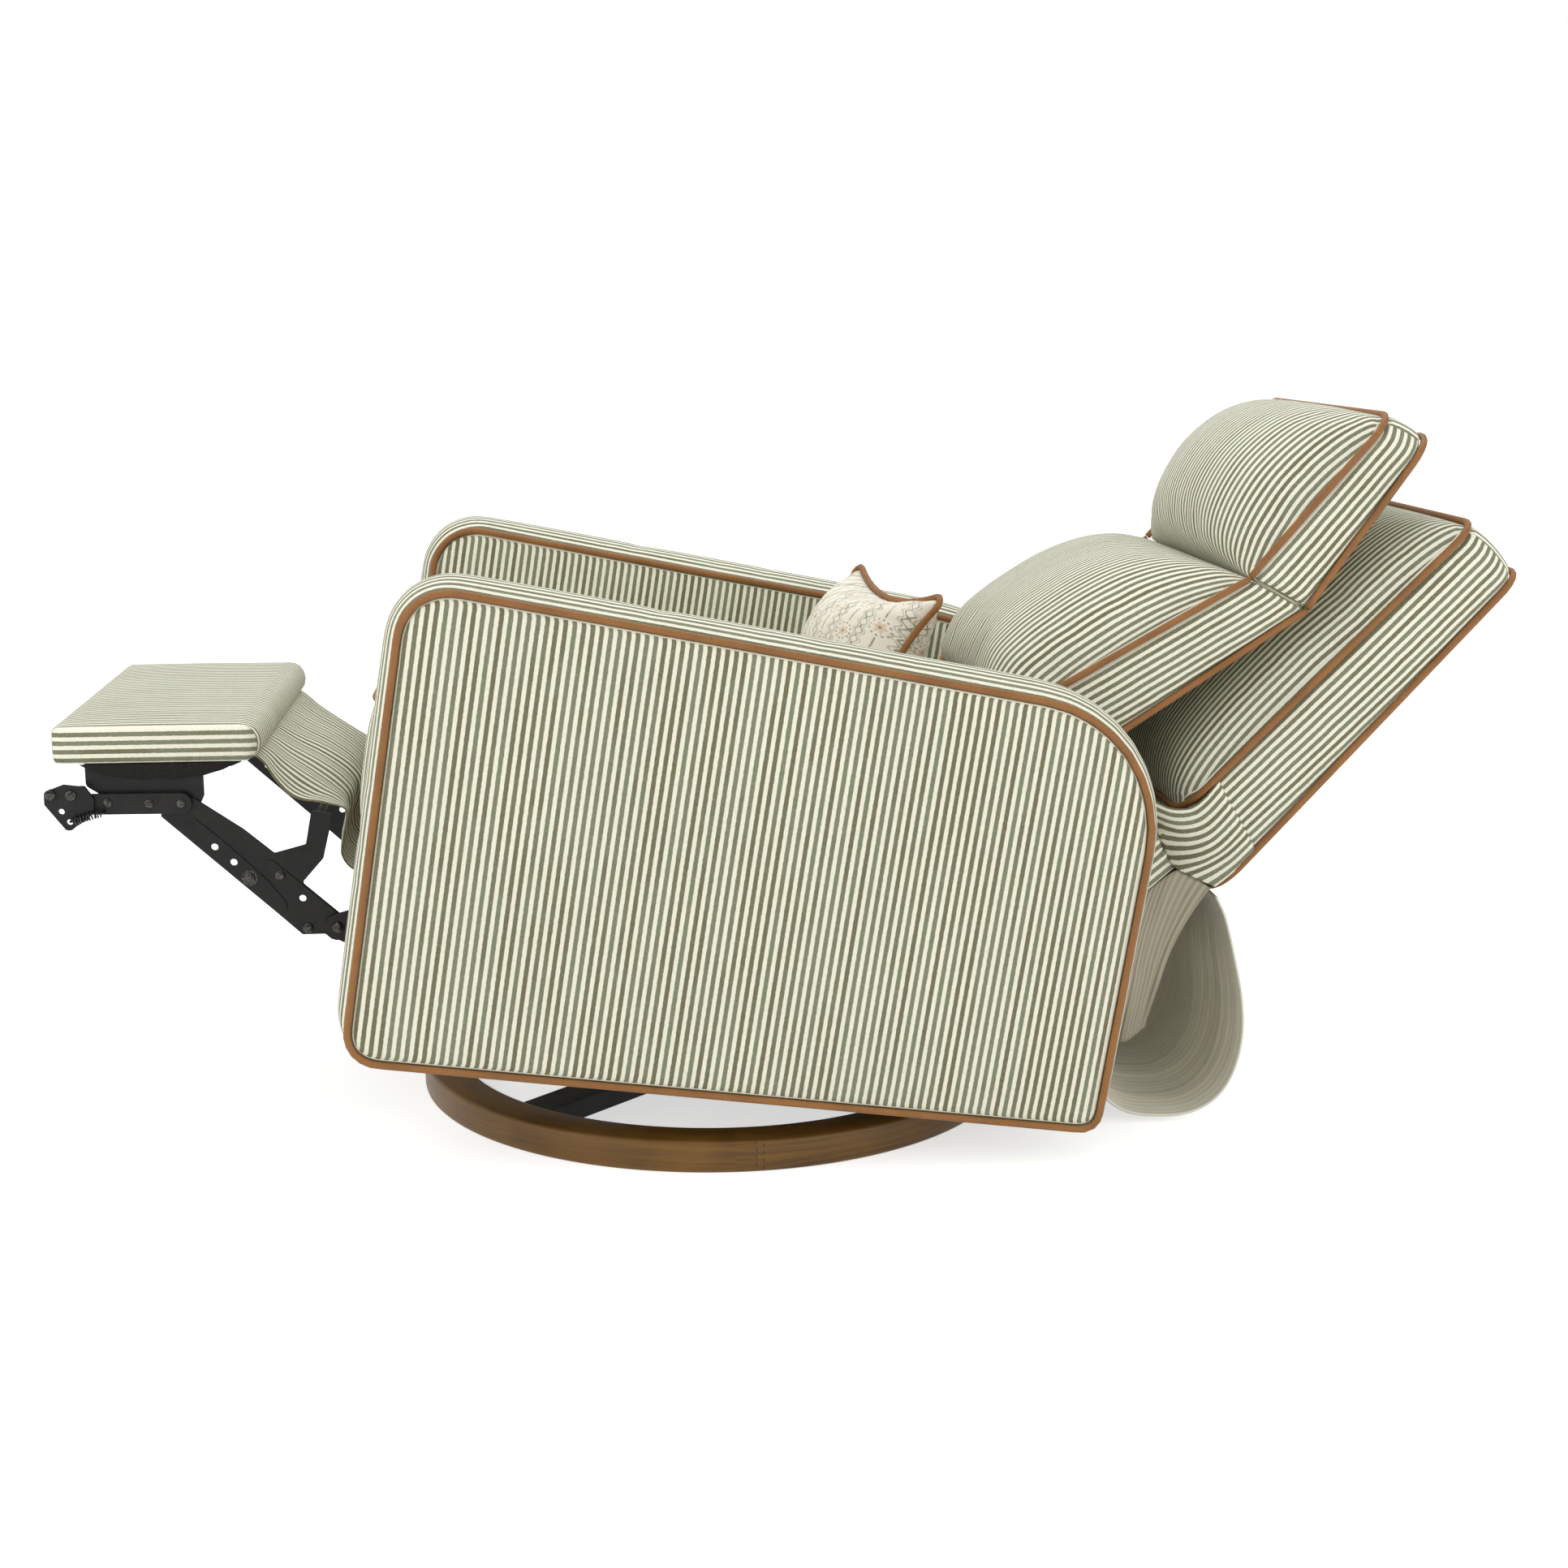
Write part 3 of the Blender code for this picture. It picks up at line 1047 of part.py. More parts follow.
BASE = frame_empty("base_frame", None, SWIVEL_Y, 0.0)
TURNTABLE = frame_empty("turntable_frame", BASE, 0.0, 0.0)
GLIDE_REAR = frame_empty("glide_rear_frame", TURNTABLE, GLIDE_REAR_Y, GLIDE_PIVOT_Z)
GLIDE_FRONT = frame_empty("glide_front_frame", TURNTABLE, GLIDE_REAR_Y - GLIDE_SPAN, GLIDE_PIVOT_Z, GLIDE_SWING)
SEAT = frame_empty("seat_frame", BASE, 0.0, 0.0, -SEAT_TILT)
SWING = frame_empty("swing_frame", SEAT, *SWING_PIVOT, SWING_ANGLE)
LONG = frame_empty("long_link_frame", SEAT, *ELBOW, pi - LONG_LINK_RISE)
FOOT = frame_empty("foot_frame", SEAT, *FOOT_PIVOT, SEAT_TILT)
BACK = frame_empty("back_frame", SEAT, RECLINE_Y, RECLINE_Z, -BACK_LEAN)
HEAD = frame_empty("head_frame", BACK, HEAD_Y, HEAD_Z)
PILLOW = frame_empty("pillow_frame", SEAT, PILLOW_Y, PILLOW_Z, -PILLOW_LEAN, PILLOW_TURN)

glide(base())
arms()
seat_box()
seat_cushion()
mechanism()
footrest_links()
footrest()
back()
back_cushions()
hanging_cloth()
pillow()
controls()
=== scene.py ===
from math import atan2, copysign, cos, hypot, pi, radians, sin, sqrt, tan

import bpy
from mathutils import Euler, Matrix, Vector, noise


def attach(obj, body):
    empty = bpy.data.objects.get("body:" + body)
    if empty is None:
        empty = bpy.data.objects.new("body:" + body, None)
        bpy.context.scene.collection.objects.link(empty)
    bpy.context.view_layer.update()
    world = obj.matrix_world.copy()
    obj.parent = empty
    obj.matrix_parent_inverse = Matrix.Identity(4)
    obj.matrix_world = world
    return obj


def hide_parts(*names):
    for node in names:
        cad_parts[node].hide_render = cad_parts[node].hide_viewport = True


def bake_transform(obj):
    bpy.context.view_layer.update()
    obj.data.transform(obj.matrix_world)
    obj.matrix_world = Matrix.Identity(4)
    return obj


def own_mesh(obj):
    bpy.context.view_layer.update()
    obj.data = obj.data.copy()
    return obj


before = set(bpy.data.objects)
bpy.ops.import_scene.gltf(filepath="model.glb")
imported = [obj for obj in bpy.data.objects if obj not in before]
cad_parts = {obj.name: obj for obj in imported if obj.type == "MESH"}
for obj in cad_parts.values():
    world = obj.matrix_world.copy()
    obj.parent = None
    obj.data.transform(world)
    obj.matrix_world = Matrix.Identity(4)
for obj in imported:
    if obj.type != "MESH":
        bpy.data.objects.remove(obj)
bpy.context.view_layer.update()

# The frames and main sizes of the part, in metres, as the CAD has them
SWIVEL_Y = -0.08
SEAT_TILT = radians(9.0)
BACK_LEAN = radians(36.0)
RECLINE = (0.43, 0.3)
HEAD = (-0.13, 0.4)
FOOT_REAR_Y = -0.515
FOOT_UNDER_Z = 0.45
FOOT_PIVOT_BACK = 0.088
FOOT_PIVOT_DROP = 0.045
PILLOW_AT = (0.098, 0.5594)
PILLOW_TURN = (radians(-22), 0.0, radians(15))
PIPING_RADIUS = 0.004
SEAM_INSET = 0.0065
SLANT_INSET = 0.0085
STRIPE = 0.0095
SIDES = ((1, "left"), (-1, "right"))


def to_seat(y, z):
    """A place given from the swivel axis, level with the floor, in the tilted seat frame."""
    return (y * cos(SEAT_TILT) - z * sin(SEAT_TILT), y * sin(SEAT_TILT) + z * cos(SEAT_TILT))


def moved(y, z):
    return Matrix.Translation((0.0, y, z))


def pitched(angle):
    return Matrix.Rotation(angle, 4, "X")


SEAT_FRAME = moved(SWIVEL_Y, 0.0) @ pitched(-SEAT_TILT)
BACK_FRAME = SEAT_FRAME @ moved(*RECLINE) @ pitched(-BACK_LEAN)
HEAD_FRAME = BACK_FRAME @ moved(*HEAD)
FOOT_PIVOT = to_seat(FOOT_REAR_Y - FOOT_PIVOT_BACK, FOOT_UNDER_Z - FOOT_PIVOT_DROP)
FOOT_FRAME = SEAT_FRAME @ moved(*FOOT_PIVOT) @ pitched(SEAT_TILT)
PILLOW_FRAME = SEAT_FRAME @ moved(*PILLOW_AT) @ Euler(PILLOW_TURN).to_matrix().to_4x4()


class Wire:
    """A value in a material, which can be added to, multiplied and so on."""

    def __init__(self, graph, socket):
        self.graph = graph
        self.socket = socket

    def __add__(self, other):
        return self.graph.math("ADD", self, other)

    def __sub__(self, other):
        return self.graph.math("SUBTRACT", self, other)

    def __rsub__(self, other):
        return self.graph.math("SUBTRACT", other, self)

    def __mul__(self, other):
        return self.graph.math("MULTIPLY", self, other)

    def __truediv__(self, other):
        return self.graph.math("DIVIDE", self, other)

    def __abs__(self):
        return self.graph.math("ABSOLUTE", self)


class Graph:
    """The nodes of one procedural material."""

    def __init__(self, name, roughness, **constants):
        self.material = bpy.data.materials.new(name)
        self.material.use_nodes = True
        self.tree = self.material.node_tree
        self.shader = self.tree.nodes["Principled BSDF"]
        for key, value in {"roughness": roughness, **constants}.items():
            self.shader.inputs[key.replace("_", " ").title().replace("Ior", "IOR")].default_value = value

    def feed(self, socket, value):
        if isinstance(value, Wire):
            self.tree.links.new(value.socket, socket)
        elif value is not None:
            socket.default_value = value

    def node(self, kind, *values, **settings):
        made = self.tree.nodes.new("ShaderNode" + kind)
        for key, value in settings.items():
            setattr(made, key, value)
        for socket, value in zip(made.inputs, values):
            self.feed(socket, value)
        return [Wire(self, socket) for socket in made.outputs]

    def math(self, operation, *values):
        return self.node("Math", *values, operation=operation)[0]

    def vector(self, *values):
        return self.node("CombineXYZ", *values)[0]

    def place(self):
        """Where a point lies on the object itself."""
        return self.node("TexCoord")[3]

    def cloth(self):
        """The cloth coordinates in metres: across, along and nothing."""
        return self.node("SeparateXYZ", self.node("UVMap", uv_map="cloth")[0])

    def scaled(self, vector, scales):
        return self.node("VectorMath", vector, scales, operation="MULTIPLY")[0]

    def noise(self, vector, scale=1.0, detail=2.0, roughness=0.5):
        return self.node("TexNoise", vector, None, scale, detail, roughness)[0]

    def range(self, value, low, high, to_low=0.0, to_high=1.0):
        return self.node("MapRange", value, low, high, to_low, to_high, interpolation_type="SMOOTHSTEP")[0]

    def below(self, value, low, high):
        """1 where a value is lower than both limits, 0 where it is higher."""
        return self.range(value, low, high, 1.0, 0.0)

    def mix(self, factor, first, second):
        """Two colours mixed; one given by its parts is in 0 to 255, as it looks."""
        paints = [paint if isinstance(paint, Wire) else (*linear(*paint), 1.0) for paint in (first, second)]
        return self.node("Mix", factor, *[None] * 5, *paints, data_type="RGBA")[2]

    def bump(self, height, strength, distance, normal=None):
        return self.node("Bump", strength, distance, None, height, normal)[0]

    def finish(self, colour, roughness=None, normal=None):
        self.feed(self.shader.inputs["Base Color"], colour)
        self.feed(self.shader.inputs["Roughness"], roughness)
        self.feed(self.shader.inputs["Normal"], normal)
        return self.material


def linear(red, green, blue):
    return tuple(((value / 255 + 0.055) / 1.055) ** 2.4 if value > 10 else value / 255 / 12.92
                 for value in (red, green, blue))


def striped(name, cream, browns, sages, edge, relief):
    """Woven ticking: each dark stripe wanders between an olive brown and a sage grey along its length."""
    half_dark = 0.262
    g = Graph(name, 0.85, sheen_weight=0.12, sheen_roughness=0.45)
    u, v, _ = g.cloth()
    flat = g.vector(u, v, 0.0)
    phase = (u + (g.noise(flat, 170.0) - 0.5) * 0.0011) / STRIPE
    cell = g.math("FLOOR", phase)
    dark = g.below(abs(g.math("FRACT", phase) - 0.5), half_dark - edge, half_dark + edge)
    own = g.noise(g.vector(cell * 7.31, v * 3.0, 2.0), detail=0.0)
    passing = g.noise(g.vector(cell * 3.77, v * 17.0, 0.0))
    tone = g.range(own * 0.62 + passing * 0.38, 0.4, 0.6)
    streak = g.range(g.noise(g.scaled(flat, (1500.0, 260.0, 1.0)), 1.0, 2.0, 0.6), 0.42, 0.74)
    colour = g.mix(streak, g.mix(tone, browns[0], sages[0]), g.mix(tone, browns[1], sages[1]))
    pale = g.mix(g.range(g.noise(g.scaled(flat, (900.0, 300.0, 1.0))), 0.3, 0.75), *cream)
    colour = g.mix(dark, pale, colour)
    speck = g.range(g.noise(flat, 1100.0, 1.0), 0.25, 0.8, 0.0, 0.3)
    colour = g.mix(speck, colour, g.mix(0.5, colour, cream[1]))
    soft = g.range(g.noise(g.place(), 9.0), 0.3, 0.7, 0.0, 0.5)
    colour = g.mix(soft, colour, g.scaled(colour, (0.93, 0.93, 0.925)))
    weave = g.noise(g.scaled(flat, (900.0, 620.0, 1.0)), detail=1.0)
    normal = g.bump(g.noise(g.place(), 26.0), relief, 0.004)
    normal = g.bump(dark * 0.35 + weave * 0.65, 0.3, 0.0006, normal)
    return g.finish(colour, g.range(weave, 0.2, 0.8, 0.78, 0.92), normal)


def print_linen():
    """Cream linen with a block print of the builder's own: dotted rosettes between scalloped lines."""
    wide, high = 0.036, 0.046
    g = Graph("printed_linen_finish", 0.88, sheen_weight=0.1, sheen_roughness=0.5)
    u, v, _ = g.cloth()
    flat = g.vector(u, v, 0.0)
    blur = (g.noise(flat, 240.0) - 0.5) * 0.0016
    y = v + blur
    column = (u + blur) / wide
    row = y / high + g.math("FLOORED_MODULO", g.math("FLOOR", column), 2.0) * 0.5
    a = (g.math("FRACT", column) - 0.5) * wide
    b = (g.math("FRACT", row) - 0.5) * high
    far = g.math("SQRT", a * a + b * b)
    turn = g.math("ARCTAN2", b, a)
    rose = g.below(far - g.math("COSINE", turn * 6.0) * 0.0016, 0.0052, 0.0062)
    beads = g.below(abs(far - 0.0098), 0.0007, 0.0012) * g.range(g.math("COSINE", turn * 12.0), 0.0, 0.35)
    swing = g.math("SINE", y * (2 * pi / 0.0115)) * 0.0021
    rule = g.below(abs(abs(a) - wide * 0.43 - swing), 0.0007, 0.0013)
    fine = g.range(abs(abs(a) - wide * 0.335 - swing), 0.0004, 0.0009, 0.8, 0.0)
    sprig = g.below(abs(a), 0.0006, 0.0011) * g.range(abs(b), 0.0125, 0.0135)
    olive = g.below(far, 0.0016, 0.0021)
    for shape in (rule, fine, beads, sprig):
        olive = g.math("MAXIMUM", olive, shape)
    fade = g.range(g.noise(flat, 60.0, 3.0), 0.25, 0.6, 0.35, 0.95)
    weave = g.noise(g.scaled(flat, (1300.0, 1300.0, 1.0)), detail=1.0)
    colour = g.mix(g.range(weave, 0.3, 0.7), (233, 225, 207), (245, 240, 226))
    colour = g.mix(rose * fade, colour, (226, 198, 170))
    colour = g.mix(olive * fade, colour, (150, 148, 120))
    return g.finish(colour, None, g.bump(weave, 0.35, 0.0005, g.bump(g.noise(g.place(), 60.0), 0.15, 0.003)))


def leather():
    g = Graph("tan_leather_finish", 0.48, specular_ior_level=0.4)
    where = g.place()
    cells = g.range(g.node("TexVoronoi", where, None, 900.0, feature="DISTANCE_TO_EDGE")[0], 0.0, 0.25)
    spots = g.noise(where, 22.0, 3.0)
    colour = g.mix(g.range(spots, 0.3, 0.7), (141, 94, 46), (160, 109, 57))
    colour = g.mix(g.range(g.noise(where, 260.0), 0.55, 0.8, 0.0, 0.45), colour, (113, 73, 37))
    colour = g.mix(1.0 - cells, colour, g.mix(0.3, colour, (104, 63, 30)))
    normal = g.bump(cells, 0.25, 0.0003, g.bump(g.noise(where, 120.0), 0.25, 0.0012))
    return g.finish(colour, g.range(spots, 0.3, 0.7, 0.42, 0.56), normal)


def walnut():
    """Bent wood with long grain round the ring and a finger joint where the strip meets itself."""
    joint_at, finger, finger_reach = 0.027, 0.0088, 0.0042
    g = Graph("walnut_finish", 0.45, coat_weight=0.1, coat_roughness=0.35, specular_ior_level=0.35)
    u, v, _ = g.cloth()
    comb = g.math("SIGN", g.math("SINE", v * (2 * pi / finger)))
    edge = u - joint_at + comb * finger_reach
    seam = g.below(abs(edge), 0.0004, 0.0011)
    end = g.math("GREATER_THAN", edge, 0.0) * 4.7
    wave = g.noise(g.vector(u * 5.0, v * 30.0, end))
    rings = g.noise(g.vector(u * 2.2, (v + wave * 0.02) * 160.0, end), 1.0, 3.0, 0.6)
    pores = g.noise(g.vector(u * 45.0, v * 1500.0, end), 1.0, 2.0, 0.7)
    broad = g.noise(g.vector(u * 9.0, v * 12.0, end))
    colour = g.mix(g.range(rings, 0.3, 0.7), (80, 52, 13), (116, 82, 28))
    colour = g.mix(g.range(broad, 0.3, 0.75, 0.0, 0.65), colour, (131, 92, 34))
    colour = g.mix(g.range(pores, 0.55, 0.8, 0.0, 0.5), colour, (52, 34, 9))
    colour = g.mix(seam * 0.75, colour, (45, 30, 16))
    normal = g.bump(1.0 - seam, 0.3, 0.0004, g.bump(pores, 0.12, 0.0004))
    return g.finish(colour, g.range(rings, 0.3, 0.7, 0.36, 0.5), normal)


def hardwood():
    g = Graph("hardwood_finish", 0.6)
    rings = g.noise(g.scaled(g.place(), (60.0, 6.0, 90.0)), 1.0, 3.0, 0.6)
    pores = g.noise(g.scaled(g.place(), (500.0, 40.0, 700.0)))
    colour = g.mix(g.range(rings, 0.3, 0.7), (171, 131, 88), (205, 170, 124))
    colour = g.mix(g.range(pores, 0.55, 0.8, 0.0, 0.4), colour, (122, 88, 55))
    return g.finish(colour, g.range(rings, 0.3, 0.7, 0.5, 0.66), g.bump(pores, 0.15, 0.0004))


def black_steel():
    """Powder coat with a fine orange peel, rubbed paler on its roughest spots."""
    g = Graph("black_steel_finish", 0.42, specular_ior_level=0.24)
    worn = g.noise(g.place(), 45.0, 4.0, 0.7)
    colour = g.mix(g.range(worn, 0.35, 0.75), (22, 21, 20), (38, 36, 35))
    normal = g.bump(g.noise(g.place(), 900.0), 0.18, 0.0004)
    return g.finish(colour, g.range(worn, 0.3, 0.7, 0.34, 0.5), normal)


def bright_steel():
    g = Graph("rivet_steel_finish", 0.32, metallic=0.9)
    worn = g.noise(g.place(), 400.0, 3.0)
    colour = g.mix(g.range(worn, 0.35, 0.7), (48, 46, 45), (92, 90, 87))
    return g.finish(colour, g.range(worn, 0.3, 0.7, 0.26, 0.42), g.bump(worn, 0.1, 0.0003))


def plastic(name, paint, roughness):
    spread = 0.06
    g = Graph(name, roughness)
    spark = g.noise(g.place(), 1400.0, 1.0)
    pale = g.scaled(linear(*paint), (1.5, 1.5, 1.5))
    colour = g.mix(g.range(g.noise(g.place(), 30.0, 3.0), 0.3, 0.7), paint, pale)
    return g.finish(colour, g.range(spark, 0.3, 0.7, roughness - spread, roughness + spread),
                    g.bump(spark, 0.2, 0.0003))


def dust_cloth():
    g = Graph("dust_cloth_finish", 0.95, sheen_weight=0.05, specular_ior_level=0.2)
    felt = g.noise(g.place(), 700.0, 3.0, 0.7)
    folds = g.noise(g.scaled(g.place(), (30.0, 55.0, 55.0)))
    colour = g.mix(g.range(felt, 0.3, 0.7), (24, 24, 23), (42, 41, 39))
    return g.finish(colour, None, g.bump(felt, 0.3, 0.0005, g.bump(folds, 0.6, 0.006)))


FABRIC = striped("striped_fabric_finish", ((236, 233, 211), (248, 246, 228)), ((88, 84, 48), (120, 115, 76)),
                 ((106, 112, 84), (139, 143, 113)), 0.03, 0.1)
# The inside of the loose cover is the ticking's real reverse, painted pale with faint stripes. This is
# painted light, standing in for the light that comes through the thin cloth and lifts its shaded inside.
REVERSE_PAINTED_LIGHT = striped("striped_reverse_painted_light_finish", ((236, 231, 212), (242, 238, 221)),
                  ((222, 215, 193), (229, 223, 203)), ((224, 222, 203), (231, 229, 211)), 0.12, 0.2)
HEM = striped("hem_finish", ((240, 237, 222), (246, 244, 231)), ((228, 225, 208), (234, 231, 216)),
              ((230, 228, 213), (236, 234, 220)), 0.1, 0.1)
# A darker copy of the loose cover's cloth. This is painted shade, for the deep shade inside the cover's
# gathered sides.
PAINTED_SHADE_CLOTH = striped("painted_shade_cloth_finish", ((172, 164, 143), (182, 175, 155)), ((143, 134, 113), (153, 145, 125)),
                 ((153, 148, 129), (163, 158, 139)), 0.14, 0.2)
PRINT = print_linen()
LEATHER = leather()
WALNUT = walnut()
WOOD = hardwood()
STEEL = black_steel()
RIVET = bright_steel()
PLASTIC = plastic("black_plastic_finish", (34, 34, 35), 0.45)
MOTOR = plastic("motor_black_finish", (38, 38, 42), 0.5)
DUST = dust_cloth()


def finish_mesh(name, verts, faces, corners, material):
    """A smooth mesh whose face corners carry cloth coordinates in metres."""
    data = bpy.data.meshes.new(name)
    data.from_pydata([tuple(vert) for vert in verts], [], faces)
    layer = data.uv_layers.new(name="cloth")
    layer.data.foreach_set("uv", [value for corner in corners for value in corner])
    data.materials.append(material)
    data.shade_smooth()
    made = bpy.data.objects.new(name, data)
    bpy.context.scene.collection.objects.link(made)
    return made


def dress(piece, body, node=None):
    """Say which body a piece moves with, and hide the solid it stands for."""
    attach(piece, body)
    if node:
        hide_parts(node)
    return piece


def running(points):
    """How far along a polyline each of its points lies."""
    lengths = [0.0]
    for start, end in zip(points, points[1:]):
        lengths.append(lengths[-1] + (end - start).length)
    return lengths


def along(points, count):
    """As many even steps along a polyline, its last point left out."""
    lengths = running(points)
    made = []
    k = 0
    for step in range(count):
        here = lengths[-1] * step / count
        while k < len(points) - 2 and lengths[k + 1] < here:
            k += 1
        span = lengths[k + 1] - lengths[k]
        made.append(points[k].lerp(points[k + 1], (here - lengths[k]) / span if span else 0.0))
    return made


def corner_arc(before, here, after, radius, steps=8):
    back = (before - here).normalized()
    ahead = (after - here).normalized()
    half = back.angle(ahead) / 2
    centre = here + (back + ahead).normalized() * (radius / sin(half))
    start = here + back * (radius / tan(half)) - centre
    end = here + ahead * (radius / tan(half)) - centre
    turn = atan2(start.x * end.y - start.y * end.x, start.dot(end))
    return [centre + Matrix.Rotation(turn * step / steps, 2) @ start for step in range(steps + 1)]


def rectangle(half, low, high):
    return ((-half, low), (half, low), (half, high), (-half, high))


def loop(corners, radii, counts, draw=0.0):
    """A rounded outline of four sides, each from the middle of one corner to the middle of the next."""
    spots = [Vector(corner) for corner in corners]
    arcs = [corner_arc(spots[k - 1], spots[k], spots[(k + 1) % 4], radii[k]) for k in range(4)]
    points = []
    for k in range(4):
        ahead = arcs[(k + 1) % 4]
        start, end = arcs[k][-1], ahead[0]
        side = end - start
        inward = Vector((-side.y, side.x)).normalized()
        run = [start + side * (s / 12) + inward * draw * 4 * (s / 12) * (1 - s / 12) for s in range(13)]
        points += along(arcs[k][4:-1] + run + ahead[1:5], counts[k % 2])
    return points


def rounded(half, low, high, radii, counts):
    """rim(offset) of a rounded rectangle: radii from the lower left corner, counter-clockwise."""
    def rim(offset):
        corners = rectangle(half + offset, low - offset, high + offset)
        return loop(corners, [radius + offset for radius in radii], counts)
    return rim


def patch(points, counts):
    """A grid of points inside a closed loop of four sides."""
    wide, high = counts
    bottom = points[:wide + 1]
    right = points[wide:wide + high + 1]
    top = points[wide + high:2 * wide + high + 1][::-1]
    left = (points[2 * wide + high:] + points[:1])[::-1]
    rows = []
    for j in range(high + 1):
        t = j / high
        row = []
        for i in range(wide + 1):
            s = i / wide
            edge = bottom[i] * (1 - t) + top[i] * t + left[j] * (1 - s) + right[j] * s
            bend = (bottom[0] * (1 - s) + bottom[-1] * s) * (1 - t) + (top[0] * (1 - s) + top[-1] * s) * t
            row.append(edge - bend)
        rows.append(row)
    return rows


def rim_index(counts):
    """Where the closed loop lies in a grid stored row by row."""
    wide, high = counts
    width = wide + 1
    order = list(range(wide))
    order += [j * width + wide for j in range(high)]
    order += [high * width + i for i in range(wide, 0, -1)]
    order += [j * width for j in range(high, 0, -1)]
    return order


def quads(counts):
    """The faces of a grid stored row by row."""
    wide, high = counts
    starts = [j * (wide + 1) + i for j in range(high) for i in range(wide)]
    return [(a, a + 1, a + wide + 2, a + wide + 1) for a in starts]


def circle(count, turn=0.0):
    """Even places on a circle: the cosine and sine of each."""
    angles = [2 * pi * m / count + turn for m in range(count)]
    return [(cos(angle), sin(angle)) for angle in angles]


def bands(count, sides, closed=False):
    """The faces between rings of points stored one after another."""
    made = []
    for k in range(count if closed else count - 1):
        here, after = k * sides, (k + 1) % count * sides
        made += [(here + m, here + (m + 1) % sides, after + (m + 1) % sides, after + m) for m in range(sides)]
    return made


def panel(mesh, points, cut, counts):
    """Add a grid of points to the vertices, faces and corners of a mesh; a second one faces the other way."""
    verts, faces, corners = mesh
    base = len(verts)
    verts += points
    for quad in quads(counts):
        quad = quad[::-1] if base else quad
        faces.append(tuple(base + k for k in quad))
        corners += [tuple(cut[k]) for k in quad]
    return base


def unrolled(grid, heights, wide):
    """Cloth coordinates of a panel whose width follows its crown from the middle column."""
    made = []
    width = wide + 1
    for j in range(len(grid) // width):
        row = grid[j * width:(j + 1) * width]
        lift = heights[j * width:(j + 1) * width]
        run = [0.0]
        for i in range(wide):
            run.append(run[-1] + hypot(row[i + 1][0] - row[i][0], lift[i + 1] - lift[i]))
        made += [(length - run[wide // 2], row[i][1]) for i, length in enumerate(run)]
    return made


SEAMS = {}


def boxed(name, rim, counts, place, rows, panels, boxing, material, crowned=True):
    """A boxed cushion: two panels over rim(offset) and rows of boxing between them.

    rows: (offset, forward(v)) from the face to the rear; panels: (offset, forward(u, v)) of face and rear.
    place(u, v, forward) is where a point lies in the scene.
    boxing gives the cloth coordinates of a corner from (u, v), length round the rim, depth, run and forward.
    """
    verts, faces, corners = [], [], []
    order = rim_index(counts)
    rings = []
    for offset, forward in panels:
        grid = [spot for row in patch(rim(offset), counts) for spot in row]
        heights = [forward(u, v) for u, v in grid]
        points = [place(u, v, height) for (u, v), height in zip(grid, heights)]
        cut = unrolled(grid, heights, counts[0]) if crowned else grid
        base = panel((verts, faces, corners), points, cut, counts)
        rings.append(([base + k for k in order], [grid[k] for k in order]))
    loops = [(*rings[0], rows[0][1])]
    for offset, forward in rows:
        spots = rim(offset)
        base = len(verts)
        verts += [place(u, v, forward(v)) for u, v in spots]
        loops.append((list(range(base, base + len(spots))), spots, forward))
    loops.append((*rings[1], rows[-1][1]))
    count = len(order)
    round_at = running(loops[1][1] + loops[1][1][:1])
    depth = [0.0] * count
    for (upper, upper_spots, high_at), (lower, lower_spots, low_at) in zip(loops, loops[1:]):
        deeper = [depth[k] + (verts[lower[k]] - verts[upper[k]]).length for k in range(count)]
        for k in range(count):
            m = (k + 1) % count
            faces.append((upper[k], lower[k], lower[m], upper[m]))
            run = upper_spots[m] - upper_spots[k]
            for spot, at, deep, level in ((upper_spots[k], round_at[k], depth[k], high_at),
                                          (lower_spots[k], round_at[k], deeper[k], low_at),
                                          (lower_spots[m], round_at[k + 1], deeper[m], low_at),
                                          (upper_spots[m], round_at[k + 1], depth[m], high_at)):
                corners.append(boxing(spot, at, deep, run, level(spot.y)))
        depth = deeper
    SEAMS[name] = [k for ring in (loops[0], loops[1], loops[-2], loops[-1]) for k in ring[0]]
    return finish_mesh(name, verts, faces, corners, material)


def tube(name, points, radius, material, closed=False, sides=10):
    """A round cord along points, with an even twist."""
    count = len(points)
    if closed:
        ahead = [(points[(k + 1) % count] - points[k - 1]).normalized() for k in range(count)]
    else:
        ahead = [(points[min(k + 1, count - 1)] - points[max(k - 1, 0)]).normalized() for k in range(count)]
    up = ahead[0].orthogonal().normalized()
    ups = [up]
    for k in range(1, count):
        up = (up - ahead[k] * up.dot(ahead[k])).normalized()
        ups.append(up)
    twist = 0.0
    if closed:
        last = (up - ahead[0] * up.dot(ahead[0])).normalized()
        twist = atan2(last.cross(ups[0]).dot(ahead[0]), last.dot(ups[0]))
    verts, corners = [], []
    run = running(points + points[:1])
    girth = 2 * pi * PIPING_RADIUS / sides
    for k in range(count):
        side = ahead[k].cross(ups[k])
        verts += [points[k] + (ups[k] * x + side * y) * radius for x, y in circle(sides, twist * k / count)]
    faces = [(b, c, d, a) for a, b, c, d in bands(count, sides, closed)]
    for k in range(len(faces) // sides):
        for m in range(sides):
            corners += [((m + 1) * girth, run[k]), ((m + 1) * girth, run[k + 1]), (m * girth, run[k + 1]),
                        (m * girth, run[k])]
    if not closed:
        faces += [tuple(range(sides))[::-1], tuple(range((count - 1) * sides, count * sides))]
        corners += [(0.0, 0.0)] * 2 * sides
    return finish_mesh(name, verts, faces, corners, material)


